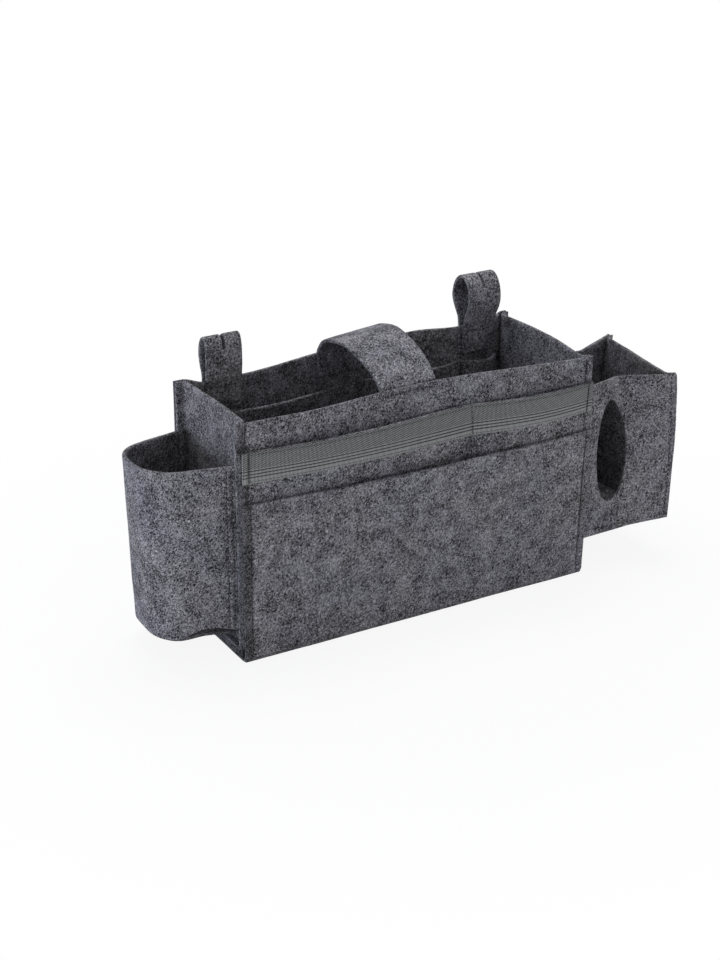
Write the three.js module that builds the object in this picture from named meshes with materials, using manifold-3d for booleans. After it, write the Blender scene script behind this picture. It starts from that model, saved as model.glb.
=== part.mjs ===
// Felt bedside caddy: an open bin of sewn felt with pockets in front, a bottle pocket on its
// left end, a tissue box pocket on its right end, a carrying strap and two hanging loops.
// Units are millimetres, +Z is up, +X runs along the front and +Y points to the back wall.
// Every panel is first placed from the front left bottom corner of the bin, and the whole
// caddy is then centred over the middle of its underside.

import * as THREE from 'three';
import { mergeVertices } from 'three/addons/utils/BufferGeometryUtils.js';
import Module from 'manifold-3d';

const wasm = await Module();
wasm.setup();

// Felt and how its layers lie on each other
const felt = 3;
const layerGap = 0.3;
const layer = felt + layerGap;
const overrun = 4;
const weldDistance = 1e-4;

// The bin
const binWidth = 328;
const binDepth = 124;
const binHeight = 200;
const baseBend = 0.5;
const pocketBend = 4.5;
const flangeWidth = 7;
const flangeBend = 2.5;
const flangeCorner = 3;

// How the top edges of the soft walls lean and bow
const frontTopLeftIn = 0.5;
const frontTopRightOut = 6;
const backTopLeftIn = 4;
const backTopRightOut = 7;
const backTopRightRise = 4;
const backRiseStart = 130;
const frontBow = 12;
const frontBowOffCentre = 21;
const frontBowHalf = 10;
const frontBowFall = 125;
const frontBowFoot = 80;
const leftSideBow = 1.5;
const rightSideBow = -5.5;
const sideBowFoot = 50;
const frontBowPower = 2.4;
const bowPower = 2;

// Carrying strap
const strapWidth = 53;
const strapOffCentre = 6.5;
const strapCentre = binWidth / 2 - strapOffCentre;
const strapRise = 23.5;
const strapTilt = 3;
const strapFrontTail = 26;
const strapBackTail = 20;

// Rise of the strap as shares of its crest, at shares of the way from front to back
const strapArchShares = [
  [0, 0], [0.06, 0.26], [0.14, 0.5], [0.31, 0.78], [0.56, 1], [0.8, 0.84], [0.92, 0.6], [1, 0.12],
];

// Hanging loops: the left one is folded narrow, the right one stands open
const loopWidth = 32;
const loopTail = 25;
const loopSlitWidth = 2;
const loopNeck = 5;
const loopShoulderShare = 0.5;
const loopBulgePower = 0.7;
const leftLoopFromEnd = 40;
const rightLoopFromEnd = 36;
const loopFallOutward = 16;
const leftLoopHeight = 34.5;
const leftLoopSlitDrop = 13;
const leftLoopHalfDepth = 6.5;
const leftLoopWallBow = 7;
const leftLoopWallSag = 3;
const leftLoopFallInward = 90;
const rightLoopHeight = 42;
const rightLoopSlitDrop = 10;
const rightLoopHalfDepth = 14;
const rightLoopWallBow = 6;
const rightLoopWallSag = 3;
const rightLoopFallInward = 50;
const leftLoop = {
  centre: leftLoopFromEnd,
  height: leftLoopHeight,
  slitDrop: leftLoopSlitDrop,
  halfDepth: leftLoopHalfDepth,
  wallBow: leftLoopWallBow,
  wallSag: leftLoopWallSag,
  fallLeft: loopFallOutward,
  fallRight: leftLoopFallInward,
};
const rightLoop = {
  centre: binWidth - rightLoopFromEnd,
  height: rightLoopHeight,
  slitDrop: rightLoopSlitDrop,
  halfDepth: rightLoopHalfDepth,
  wallBow: rightLoopWallBow,
  wallSag: rightLoopWallSag,
  fallLeft: rightLoopFallInward,
  fallRight: loopFallOutward,
};

// Pockets on the front
const upperPocketDrop = 22;
const upperPocketHeight = binHeight - upperPocketDrop;
const upperPocketFoot = 12;
const upperGapeFoot = 60;
const upperPocketGape = 7.5;
const dividerOffCentre = 45;
const upperPocketDivider = binWidth / 2 + dividerOffCentre;
const webbingHeight = 25;
const webbingThickness = 1.5;
const webbingInset = 1.5;
const seamInset = 5;
const lowerPocketDrop = 16.5;
const lowerPocketHeight = upperPocketHeight - webbingHeight - lowerPocketDrop;
const lowerPocketGape = 8;
const lowerGapePower = 1.5;

// Pocket on the inner face of the back wall
const innerPocketDrop = 30;
const innerPocketHeight = binHeight - innerPocketDrop;
const innerPocketFoot = 16;
const innerGapeFoot = 55;
const innerPocketInset = 16;
const innerPocketGape = 11;
const innerStitchOffCentre = 7;
const innerStitchFromEnd = 53.5;
const innerPocketStitches = [binWidth / 2 + innerStitchOffCentre, binWidth - innerStitchFromEnd];

// Bottle pocket on the left end
const bottleReachRim = 63.5;
const bottleReachFoot = 57.5;
const bottleFrontRim = 165;
const bottleBackRim = 160;
const bottleFloor = 19;
const bottleFrontLean = 16.5;
const bottleBackIn = 18.5;
const bottleBackReachLess = 2;
const bottleFrontRound = 28;
const bottleBackRound = 22;

// Tissue box pocket on the right end
const tissueFloor = 30;
const tissueRim = 168.5;
const tissueFootSag = 4.5;
const tissueSagShare = 0.6;
const tissueReachFront = 90;
const tissueReachBack = 106.5;
const tissueReachFoot = 98;
const tissueEndBulge = 2.5;
const tissueFrontSetback = 6;
const tissueFrontFlare = 7;
const tissueBackSetback = 12;
const tissueBackFlare = 3;
const frontCrease = 17.5;
const backCrease = 31;
const creaseRound = 9;
const creasePower = 1.6;
const creaseLeastShare = 0.02;
const creaseFootShare = 0.36;
const creaseRimShare = 0.5;
const seamHold = 4;
const seamRound = 2;
const slotWidth = 32;
const slotHeight = 92;
const slotFromBin = 32.5;
const slotCentreHeight = 104;

// Fineness of the curved work
const bendSteps = 4;
const wallStops = 5;
const slotSteps = 32;
const strapSteps = 16;
const loopSteps = 6;
const neckSteps = 8;
const bowSteps = 8;
const pocketSteps = 18;
const tissueSteps = 8;
const bandSteps = 3;
const miterFloor = 0.5;
const backLevelShares = [0.3, 0.5, 0.65, 0.8, 0.9, 1];

const colours = { felt: 0x4c4c50, webbing: 0x63665f };

function feltMaterial() {
  return new THREE.MeshStandardMaterial({ color: colours.felt, roughness: 0.95, metalness: 0 });
}

function webbingMaterial() {
  return new THREE.MeshStandardMaterial({ color: colours.webbing, roughness: 0.8, metalness: 0 });
}

const { lerp, clamp, smoothstep } = THREE.MathUtils;

// Share from 0 to 1 of the way from low to high
function share(value, low, high) {
  return clamp((value - low) / (high - low), 0, 1);
}

// Even stops from low to high, both ends included
function stops(low, high, count) {
  return Array.from({ length: count + 1 }, (_, i) => lerp(low, high, i / count));
}

// One hump between two stitched lines, flat where it starts and ends
function hump(value, low, high) {
  return (1 - Math.cos(2 * Math.PI * share(value, low, high))) / 2;
}

// How much of the walls' lean has built up at a height: it starts above the bend at the base
function leanShare(z) {
  return share(z, baseBend + 2 * layer, binHeight);
}

// Full over the width of a loop or strap, and falling away on both sides
function plateau(x, centre, half, fallLeft, fallRight) {
  const left = smoothstep(x, centre - half - fallLeft, centre - half);
  const right = 1 - smoothstep(x, centre + half, centre + half + fallRight);
  return Math.min(left, right);
}

// Place of the outermost front layer, bowed in where the strap pulls it
function frontFace(x, z) {
  const lean = lerp(frontTopLeftIn, -frontTopRightOut, share(x, 0, binWidth)) * leanShare(z);
  const pull = plateau(x, binWidth / 2 + frontBowOffCentre, frontBowHalf, frontBowFall, frontBowFall);
  const rise = share(z, binHeight - frontBowFoot, binHeight) ** frontBowPower;
  return lean + frontBow * pull * rise;
}

function loopPull(loop, x) {
  return plateau(x, loop.centre, loopWidth / 2, loop.fallLeft, loop.fallRight);
}

// Place of the back wall's outer face, bowed in under each loop
function backFace(x, z) {
  const lean = lerp(-backTopLeftIn, backTopRightOut, share(x, 0, binWidth)) * leanShare(z);
  const pull = [leftLoop, rightLoop].reduce((sum, loop) => sum + loop.wallBow * loopPull(loop, x), 0);
  return binDepth + lean - pull * share(z, 0, binHeight) ** bowPower;
}

// Top edge of the back wall, which sags a little under each loop and rises to the right
function backTop(x) {
  const sag = [leftLoop, rightLoop].reduce((sum, loop) => sum + loop.wallSag * loopPull(loop, x), 0);
  return binHeight - sag + backTopRightRise * share(x, backRiseStart, binWidth);
}

// Closed solid between two grids of points of the same size
function solidBetween(near, far) {
  const rows = near.length;
  const columns = near[0].length;
  const positions = [...near.flat(), ...far.flat()].flatMap((point) => [point.x, point.y, point.z]);
  const at = (side, row, column) => side * rows * columns + row * columns + column;
  const faces = [];
  const quad = (a, b, c, d) => faces.push(a, b, c, a, c, d);
  for (let row = 0; row + 1 < rows; row += 1) {
    for (let column = 0; column + 1 < columns; column += 1) {
      quad(at(0, row, column), at(0, row, column + 1), at(0, row + 1, column + 1), at(0, row + 1, column));
      quad(at(1, row, column), at(1, row + 1, column), at(1, row + 1, column + 1), at(1, row, column + 1));
    }
  }
  for (let row = 0; row + 1 < rows; row += 1) {
    const last = columns - 1;
    quad(at(0, row, 0), at(0, row + 1, 0), at(1, row + 1, 0), at(1, row, 0));
    quad(at(0, row, last), at(1, row, last), at(1, row + 1, last), at(0, row + 1, last));
  }
  for (let column = 0; column + 1 < columns; column += 1) {
    const last = rows - 1;
    quad(at(0, 0, column), at(1, 0, column), at(1, 0, column + 1), at(0, 0, column + 1));
    quad(at(0, last, column), at(0, last, column + 1), at(1, last, column + 1), at(1, last, column));
  }
  const geometry = new THREE.BufferGeometry();
  geometry.setAttribute('position', new THREE.Float32BufferAttribute(positions, 3));
  geometry.setIndex(faces);
  return facingOut(geometry);
}

// Signed volume tells whether the faces point out; if not, each triangle is turned over
function facingOut(geometry) {
  const place = geometry.getAttribute('position');
  const index = geometry.getIndex().array;
  const corner = (i) => new THREE.Vector3().fromBufferAttribute(place, index[i]);
  let volume = 0;
  for (let i = 0; i < index.length; i += 3) {
    volume += corner(i).dot(corner(i + 1).cross(corner(i + 2)));
  }
  if (volume < 0) {
    for (let i = 0; i < index.length; i += 3) {
      [index[i], index[i + 1]] = [index[i + 1], index[i]];
    }
  }
  return geometry;
}

// Solid for the boolean library from a closed geometry
function toSolid(geometry) {
  const bare = geometry.clone();
  bare.deleteAttribute('normal');
  bare.deleteAttribute('uv');
  const merged = mergeVertices(bare, weldDistance);
  const vertProperties = new Float32Array(merged.getAttribute('position').array);
  const triVerts = new Uint32Array(merged.getIndex().array);
  return new wasm.Manifold(new wasm.Mesh({ numProp: 3, vertProperties, triVerts }));
}

function fromSolid(solid) {
  const mesh = solid.getMesh();
  const places = [];
  for (let i = 0; i < mesh.vertProperties.length; i += mesh.numProp) {
    places.push(mesh.vertProperties[i], mesh.vertProperties[i + 1], mesh.vertProperties[i + 2]);
  }
  const geometry = new THREE.BufferGeometry();
  geometry.setAttribute('position', new THREE.Float32BufferAttribute(places, 3));
  geometry.setIndex(Array.from(mesh.triVerts));
  return geometry;
}

function join(...geometries) {
  return fromSolid(geometries.map(toSolid).reduce((sum, next) => sum.add(next)));
}

function cut(geometry, ...cutters) {
  return fromSolid(cutters.map(toSolid).reduce((rest, next) => rest.subtract(next), toSolid(geometry)));
}

// Polyline through plan corners, with an arc of the corner's radius where it has one
function roundedPath(corners) {
  return corners.flatMap(({ x, y, r = 0 }, i) => {
    const corner = new THREE.Vector2(x, y);
    if (r === 0) return [corner];
    const before = new THREE.Vector2(corners[i - 1].x, corners[i - 1].y).sub(corner).normalize();
    const after = new THREE.Vector2(corners[i + 1].x, corners[i + 1].y).sub(corner).normalize();
    const half = Math.acos(clamp(before.dot(after), -1, 1)) / 2;
    const centre = before.clone().add(after).normalize().multiplyScalar(r / Math.sin(half)).add(corner);
    const start = before.clone().multiplyScalar(r / Math.tan(half)).add(corner).sub(centre);
    const end = after.clone().multiplyScalar(r / Math.tan(half)).add(corner).sub(centre);
    const turn = Math.atan2(start.cross(end), start.dot(end));
    return stops(0, turn, bendSteps)
      .map((angle) => start.clone().rotateAround(new THREE.Vector2(), angle).add(centre));
  });
}

// The same polyline moved sideways, to its left for a positive distance
function offsetPath(points, distance) {
  const legs = points.slice(1).map((point, i) => point.clone().sub(points[i]).normalize());
  return points.map((point, i) => {
    const into = legs[Math.max(i - 1, 0)];
    const onward = legs[Math.min(i, legs.length - 1)];
    const normal = new THREE.Vector2(-into.y - onward.y, into.x + onward.x).normalize();
    const reach = Math.max(normal.dot(new THREE.Vector2(-into.y, into.x)), miterFloor);
    return point.clone().addScaledVector(normal, distance / reach);
  });
}

// Upright wall of one felt layer along a plan path that may change from foot to rim
function uprightWall(levels, pathAt, heightAt) {
  const side = (offset) => levels.map((level) => offsetPath(pathAt(level), offset)
    .map((point, i, all) => new THREE.Vector3(point.x, point.y, heightAt(level, i / (all.length - 1)))));
  return solidBetween(side(felt / 2), side(-felt / 2));
}

// Layer of the front or back: its outer face is at outer(x, z), and its inner face is one
// thickness further in
function upright(xStops, levels, outer, inward, thickness = felt) {
  const face = (step) => levels
    .map((z) => xStops.map((x) => new THREE.Vector3(x, outer(x, z) + step, z)));
  return solidBetween(face(0), face(inward * thickness));
}

// Sheet that hangs on the front, turns under the bin and may climb the back: each station
// gives the outer and inner point at an x
function wrappedSheet(xStops, stations) {
  const face = (key) => stations.map((station) => xStops.map((x) => station(x)[key]));
  return solidBetween(face('outer'), face('inner'));
}

// Quarter turn of a sheet between the underside and the front or back wall
function bendStations(centreY, centreZ, radius, toBack) {
  const sign = toBack ? 1 : -1;
  return stops(0, Math.PI / 2, bendSteps).map((angle) => (x) => {
    const swing = toBack ? angle : Math.PI / 2 - angle;
    const across = sign * Math.sin(swing);
    const down = Math.cos(swing);
    const place = (r) => new THREE.Vector3(x, centreY + r * across, centreZ - r * down);
    return { outer: place(radius), inner: place(radius - felt) };
  });
}

// Heights at which every front layer has its points, so that the layers follow each other
const bowLevels = stops(binHeight - frontBowFoot, binHeight, bowSteps);

function frontLevels(bottom, top) {
  const middle = bowLevels.filter((z) => z > bottom && z < top);
  const below = bottom < bowLevels[0] ? stops(bottom, bowLevels[0], 3).slice(1, -1) : [];
  return [bottom, ...below, ...middle, top];
}

// Stops along the width, closer together where the walls bow
const panelStops = [
  ...stops(0, leftLoop.centre - loopWidth / 2, 5),
  ...stops(leftLoop.centre, strapCentre - strapWidth / 2, 6),
  ...stops(strapCentre, strapCentre + strapWidth / 2, 2),
  ...stops(upperPocketDivider, rightLoop.centre - loopWidth / 2, 5),
  ...stops(rightLoop.centre, binWidth, 6),
];

function bodyWrap() {
  const bend = baseBend + felt;
  const foot = layer + bend;
  const frontAt = (z) => (x) => {
    const y = frontFace(x, z) + 2 * layer;
    return { outer: new THREE.Vector3(x, y, z), inner: new THREE.Vector3(x, y + felt, z) };
  };
  const backAt = (level) => (x) => {
    const z = lerp(foot, backTop(x), level);
    const y = backFace(x, z);
    return { outer: new THREE.Vector3(x, y, z), inner: new THREE.Vector3(x, y - felt, z) };
  };
  const middle = (x) => {
    const y = binDepth / 2;
    return { outer: new THREE.Vector3(x, y, layer), inner: new THREE.Vector3(x, y, layer + felt) };
  };
  return wrappedSheet(panelStops, [
    ...frontLevels(foot + layer, binHeight).reverse().map(frontAt),
    ...bendStations(2 * layer + bend, foot, bend, false),
    middle,
    ...bendStations(binDepth - bend, foot, bend, true),
    ...backLevelShares.map(backAt),
  ]);
}

function lowerPocketGapeAt(x, z) {
  const rise = share(z, 0, lowerPocketHeight) ** lowerGapePower;
  return lowerPocketGape * Math.sqrt(hump(x, 0, binWidth)) * rise;
}

function lowerPocket() {
  const frontAt = (z) => (x) => {
    const y = frontFace(x, z) - lowerPocketGapeAt(x, z);
    return { outer: new THREE.Vector3(x, y, z), inner: new THREE.Vector3(x, y + felt, z) };
  };
  const lastUnder = (x) => {
    const y = binDepth - 2 * felt;
    return { outer: new THREE.Vector3(x, y, 0), inner: new THREE.Vector3(x, y, felt) };
  };
  return wrappedSheet(stops(0, binWidth, pocketSteps), [
    ...frontLevels(baseBend + 2 * layer, lowerPocketHeight).reverse().map(frontAt),
    ...bendStations(pocketBend, pocketBend, pocketBend, false),
    lastUnder,
  ]);
}

function upperPocketFace(x, z) {
  const left = hump(x, seamInset, upperPocketDivider);
  const lobes = left + hump(x, upperPocketDivider, binWidth - seamInset);
  const rise = share(z, upperGapeFoot, upperPocketHeight) ** bowPower;
  return frontFace(x, z) + layer - upperPocketGape * Math.sqrt(lobes) * rise;
}

function upperPocket() {
  return upright(panelStops, frontLevels(upperPocketFoot, upperPocketHeight), upperPocketFace, 1);
}

function pocketWebbing() {
  const [left, right] = [webbingInset, binWidth - webbingInset];
  const across = [left, ...panelStops.filter((x) => x > left && x < right), right];
  const levels = frontLevels(upperPocketHeight - webbingHeight, upperPocketHeight);
  const outer = (x, z) => upperPocketFace(x, z) - layerGap - webbingThickness;
  return upright(across, levels, outer, 1, webbingThickness);
}

// Middle of the bin's front and back end flanges, at a distance in from the bin's end
function frontFlange(mirrored, inFromEnd, z) {
  return frontFace(mirrored ? binWidth - inFromEnd : inFromEnd, z) + 3 * layer + felt / 2;
}

function backFlange(mirrored, inFromEnd, z) {
  const at = (x) => backFace(mirrored ? binWidth - x : x, z);
  return lerp(at(0), at(flangeWidth + felt), inFromEnd / (flangeWidth + felt / 2)) - layer - felt / 2;
}

// Side panel of the bin: its edges turn out into flanges at the front, the back and below
function sidePanel(mirrored) {
  const wall = flangeWidth + felt / 2;
  const bend = flangeBend + felt / 2;
  const place = (x) => (mirrored ? binWidth - x : x);
  const foot = 2 * layer;
  const [bowAtRim, rise] = mirrored ? [rightSideBow, backTopRightRise] : [leftSideBow, 0];
  const pathAt = (z) => {
    const front = frontFlange(mirrored, wall, z);
    const back = backFlange(mirrored, wall, z);
    const bow = bowAtRim * share(z, 0, binHeight) ** bowPower;
    const [first, last] = [front + bend, back - bend];
    const between = stops(first, last, wallStops + 1).slice(1, -1)
      .map((y) => ({ x: place(wall + bow * Math.sin(Math.PI * share(y, first, last))), y }));
    return roundedPath([
      { x: place(0), y: frontFlange(mirrored, 0, z) }, { x: place(wall), y: front, r: bend }, ...between,
      { x: place(wall), y: back, r: bend }, { x: place(0), y: backFlange(mirrored, 0, z) },
    ]);
  };
  const levels = [foot, ...stops(sideBowFoot, binHeight, wallStops)];
  const heightAt = (z, along) => z + rise * along * share(z, sideBowFoot, binHeight);
  const upper = uprightWall(levels, pathAt, heightAt);
  const frontEdge = 3 * layer;
  const backEdge = binDepth - layer;
  const profile = new THREE.Shape();
  profile.moveTo(0, foot);
  profile.lineTo(wall + felt / 2, foot);
  profile.lineTo(wall + felt / 2, foot + felt + flangeBend);
  profile.lineTo(flangeWidth, foot + felt + flangeBend);
  profile.absarc(flangeWidth - flangeBend, foot + felt + flangeBend, flangeBend, 0, -Math.PI / 2, true);
  profile.lineTo(0, foot + felt);
  const extrusion = { depth: backEdge - frontEdge, bevelEnabled: false, curveSegments: bendSteps };
  const lower = new THREE.ExtrudeGeometry(profile, extrusion);
  lower.rotateX(Math.PI / 2).translate(0, backEdge, 0);
  if (mirrored) {
    lower.rotateZ(Math.PI).translate(binWidth, frontEdge + backEdge, 0);
  }
  const corners = [frontEdge, backEdge].map((y) => {
    const size = flangeCorner * Math.SQRT2;
    const block = new THREE.BoxGeometry(binWidth, size, size);
    return block.rotateX(Math.PI / 4).translate(place(0), y, foot);
  });
  return cut(join(upper, lower), ...corners);
}

function innerPocketFace(x, z) {
  const edges = [innerPocketInset, ...innerPocketStitches, binWidth - innerPocketInset];
  const lobes = edges.slice(1).reduce((sum, edge, i) => sum + hump(x, edges[i], edge), 0);
  const rise = share(z, innerGapeFoot, innerPocketHeight) ** bowPower;
  return backFace(x, z) - layer - innerPocketGape * Math.sqrt(lobes) * rise;
}

function innerPocket() {
  const [left, right] = [innerPocketInset, binWidth - innerPocketInset];
  const inside = panelStops.filter((x) => x > left + felt && x < right - felt);
  const across = [left, ...inside, ...innerPocketStitches, right].sort((a, b) => a - b);
  const levels = [innerPocketFoot, ...stops(innerGapeFoot, innerPocketHeight, wallStops)];
  return upright(across, levels, innerPocketFace, -1);
}

function handleStrap() {
  const xs = stops(strapCentre - strapWidth / 2, strapCentre + strapWidth / 2, 4);
  const frontAt = (x, z) => frontFace(x, z) + 3 * layer + felt / 2;
  const backAt = (x, z) => backFace(x, z) - layer - felt / 2;
  const pathAt = (x) => {
    const near = frontAt(x, binHeight);
    const far = backAt(x, binHeight);
    const crest = strapRise + strapTilt * (x - strapCentre) / (strapWidth / 2);
    const arch = new THREE.SplineCurve(strapArchShares
      .map(([across, rise]) => new THREE.Vector2(lerp(near, far, across), binHeight + crest * rise)));
    const frontTail = stops(binHeight - strapFrontTail, binHeight, 3).slice(0, -1)
      .map((z) => new THREE.Vector2(frontAt(x, z), z));
    const backTail = stops(binHeight, binHeight - strapBackTail, 2)
      .map((z) => new THREE.Vector2(backAt(x, z), z));
    return [...frontTail, ...arch.getPoints(strapSteps), ...backTail];
  };
  const face = (offset) => xs.map((x) => offsetPath(pathAt(x), offset)
    .map((point) => new THREE.Vector3(x, point.x, point.y)));
  return solidBetween(face(felt / 2), face(-felt / 2));
}

// Half depth of a loop's flank at a height between its hinge line and its shoulder
function loopHalfDepth(loop, height) {
  const bulge = Math.sin(Math.PI / 2 * share(height, loopNeck, loop.height * loopShoulderShare));
  return lerp(felt, loop.halfDepth, bulge ** loopBulgePower);
}

function loopHinge(loop) {
  const top = Math.max(backTop(loop.centre - loopWidth / 2), backTop(loop.centre + loopWidth / 2));
  return { y: backFace(loop.centre, top) - felt / 2, z: top + layerGap + felt };
}

// Points up one flank, over the crest and down the mirrored flank
function overCrest(flank) {
  const far = flank.slice(0, -1).reverse().map((point) => new THREE.Vector2(-point.x, point.y));
  return [...flank, ...far];
}

// Arc of an ellipse round a centre at some height
function arc(from, to, steps, halfWidth, halfHeight, height) {
  return stops(from, to, steps)
    .map((angle) => new THREE.Vector2(halfWidth * Math.cos(angle), height + halfHeight * Math.sin(angle)));
}

// Strip folded over into a loop: its two leaves meet in a rounded neck at the hinge line
function hangLoop(loop) {
  const shoulder = loop.height * loopShoulderShare;
  const flankHeights = [0, ...stops(loopNeck, shoulder, loopSteps)];
  const flank = flankHeights.map((height) => new THREE.Vector2(loopHalfDepth(loop, height), height));
  const crest = (inward) => arc(
    0, Math.PI / 2, loopSteps, loop.halfDepth - inward, loop.height - shoulder - inward, shoulder,
  ).slice(1);
  const neck = arc(Math.PI, 2 * Math.PI, neckSteps, felt, felt, 0).slice(1, -1);
  const eyeFlank = flank.filter((point) => point.y > loopNeck && point.x > felt + layerGap)
    .map((point) => new THREE.Vector2(point.x - felt, point.y));
  const shape = new THREE.Shape([...overCrest([...flank, ...crest(0)]), ...neck]);
  shape.holes.push(new THREE.Path(overCrest([...eyeFlank, ...crest(felt)])));
  const strip = new THREE.ExtrudeGeometry(shape, { depth: loopWidth, bevelEnabled: false });
  // the outline's two axes become Y and Z, and the extrusion runs along X
  strip.applyMatrix4(new THREE.Matrix4().makeBasis(
    new THREE.Vector3(0, 1, 0), new THREE.Vector3(0, 0, 1), new THREE.Vector3(1, 0, 0),
  ));
  strip.translate(-loopWidth / 2, 0, 0);
  const slit = new THREE.BoxGeometry(loopSlitWidth, 2 * loop.halfDepth + overrun, loop.slitDrop + overrun);
  slit.translate(0, 0, loop.height - loop.slitDrop / 2 + overrun / 2);
  const hinge = loopHinge(loop);
  return cut(strip, slit).translate(loop.centre, hinge.y, hinge.z);
}

function loopTailSheet(loop, inside) {
  const xs = stops(loop.centre - loopWidth / 2, loop.centre + loopWidth / 2, 2);
  const top = backTop(loop.centre);
  const outer = (x, z) => (inside ? backFace(x, z) - layer : backFace(x, z) + layerGap);
  return upright(xs, stops(top - loopTail, top, 2), outer, inside ? -1 : 1);
}

// Plan of the bottle pocket's band, from its front seam round to its back seam
function bottlePath(level) {
  const z = lerp(bottleFloor, bottleFrontRim, level);
  const front = frontFlange(false, 0, z) + layer;
  const back = backFlange(false, 0, z) - layer;
  const reach = lerp(bottleReachFoot, bottleReachRim, level);
  return roundedPath([
    { x: seamHold, y: frontFlange(false, seamHold, z) + layer },
    { x: 0, y: front, r: seamRound },
    { x: -reach, y: front + bottleFrontLean, r: bottleFrontRound },
    { x: -reach + bottleBackReachLess, y: back - bottleBackIn, r: bottleBackRound },
    { x: 0, y: back, r: seamRound },
    { x: seamHold, y: backFlange(false, seamHold, z) - layer },
  ]);
}

function bottleBand() {
  const foot = bottleFloor + layer;
  const rim = (along) => lerp(bottleFrontRim, bottleBackRim, along);
  const height = (level, along) => lerp(foot, rim(along), level);
  return uprightWall(stops(0, 1, bandSteps), bottlePath, height);
}

// Extruded plate from a plan outline
function plate(outline, bottom, thickness) {
  const shape = new THREE.Shape(outline);
  const body = new THREE.ExtrudeGeometry(shape, { depth: thickness, bevelEnabled: false });
  return body.translate(0, 0, bottom);
}

function bottleBase() {
  const rim = offsetPath(bottlePath(0), -felt / 2);
  const wall = flangeWidth - layerGap;
  const first = rim[0];
  const last = rim[rim.length - 1];
  const step = flangeBend + layerGap;
  const inner = [new THREE.Vector2(wall, last.y - step), new THREE.Vector2(wall, first.y + step)];
  return plate([...rim, ...inner], bottleFloor, felt);
}

// Plan corners of the tissue pocket at a level from foot, 0, to rim, 1
function tissueCorners(level) {
  const z = lerp(tissueFloor, tissueRim, level);
  const frontSeam = frontFlange(true, 0, z) + layer;
  const backSeam = backFlange(true, 0, z) - layer;
  const frontHold = frontFlange(true, seamHold, z) + layer;
  const backHold = backFlange(true, seamHold, z) - layer;
  const frontEnd = new THREE.Vector2(
    binWidth + lerp(tissueReachFoot, tissueReachFront, level) + tissueEndBulge * Math.sin(Math.PI * level),
    tissueFrontSetback - tissueFrontFlare * level,
  );
  const backEnd = new THREE.Vector2(
    binWidth + lerp(tissueReachFoot, tissueReachBack, level),
    binDepth - tissueBackSetback + tissueBackFlare * level,
  );
  return { frontSeam, backSeam, frontHold, backHold, frontEnd, backEnd };
}

// Plan of a creased end wall, from the bin's seam to the free corner
function creasedPath(holdY, seamY, end, depth, level) {
  const seam = new THREE.Vector2(binWidth, seamY);
  const at = lerp(creaseFootShare, creaseRimShare, level);
  const fold = seam.clone().lerp(end, at);
  fold.y += depth * Math.max(level, creaseLeastShare) ** creasePower;
  return roundedPath([
    { x: binWidth - seamHold, y: holdY },
    { x: seam.x, y: seam.y, r: seamRound },
    { x: fold.x, y: fold.y, r: creaseRound },
    { x: end.x, y: end.y },
  ]);
}

function tissueFrontPath(level) {
  const { frontHold, frontSeam, frontEnd } = tissueCorners(level);
  return creasedPath(frontHold, frontSeam, frontEnd, frontCrease, level);
}

function tissueBackPath(level) {
  const { backHold, backSeam, backEnd } = tissueCorners(level);
  return creasedPath(backHold, backSeam, backEnd, -backCrease, level);
}

const tissueHeight = (level) => lerp(tissueFloor, tissueRim, level);

// The two creased walls hang a little lower where they meet the bin
function tissueWallHeight(level, along) {
  const sag = tissueFootSag * (1 - share(along, 0, tissueSagShare));
  return lerp(tissueFloor - sag, tissueRim, level);
}

function tissueFront() {
  const wall = uprightWall(stops(0, 1, tissueSteps), tissueFrontPath, tissueWallHeight);
  const slot = new THREE.CylinderGeometry(slotWidth / 2, slotWidth / 2, binDepth / 2, slotSteps);
  slot.scale(1, 1, slotHeight / slotWidth).translate(binWidth + slotFromBin, 0, slotCentreHeight);
  return cut(wall, slot);
}

function tissueBack() {
  return uprightWall(stops(0, 1, tissueSteps), tissueBackPath, tissueWallHeight);
}

// Side of the tissue pocket: its flanges lie against the insides of the two creased walls
function tissueSidePath(level) {
  const flange = (path, offset) => {
    const inner = offsetPath(path, offset);
    const end = inner[inner.length - 1];
    const along = inner[inner.length - 2].clone().sub(end).normalize();
    return [end, end.clone().addScaledVector(along, flangeWidth + felt / 2)];
  };
  const [frontEnd, frontTurn] = flange(tissueFrontPath(level), layer);
  const [backEnd, backTurn] = flange(tissueBackPath(level), -layer);
  const bend = flangeBend + felt / 2;
  const between = stops(0, 1, wallStops).slice(1, -1)
    .map((part) => frontTurn.clone().lerp(backTurn, part))
    .map(({ x, y }) => ({ x, y }));
  return roundedPath([
    { x: frontEnd.x, y: frontEnd.y },
    { x: frontTurn.x, y: frontTurn.y, r: bend },
    ...between,
    { x: backTurn.x, y: backTurn.y, r: bend },
    { x: backEnd.x, y: backEnd.y },
  ]);
}

function tissueSide() {
  return uprightWall(stops(0, 1, tissueSteps), tissueSidePath, tissueHeight);
}

// Floor of the tissue pocket, sewn in between its three walls and the bin's side
function tissueBase() {
  const clear = felt / 2 + layerGap;
  const { frontSeam, backSeam, frontEnd, backEnd } = tissueCorners(0);
  const side = offsetPath(tissueSidePath(0), clear);
  const edge = Math.min(...side.slice(1, -1).map((point) => point.x));
  const along = (edge - binWidth) / (frontEnd.x - binWidth);
  const wall = binWidth - flangeWidth + layerGap;
  const outline = [
    new THREE.Vector2(wall, frontSeam + clear),
    new THREE.Vector2(binWidth, frontSeam + clear),
    new THREE.Vector2(edge, lerp(frontSeam, frontEnd.y, along) + clear),
    new THREE.Vector2(edge, lerp(backSeam, backEnd.y, along) - clear),
    new THREE.Vector2(binWidth, backSeam - clear),
    new THREE.Vector2(wall, backSeam - clear),
  ];
  return plate(outline, tissueFloor, felt);
}

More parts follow.
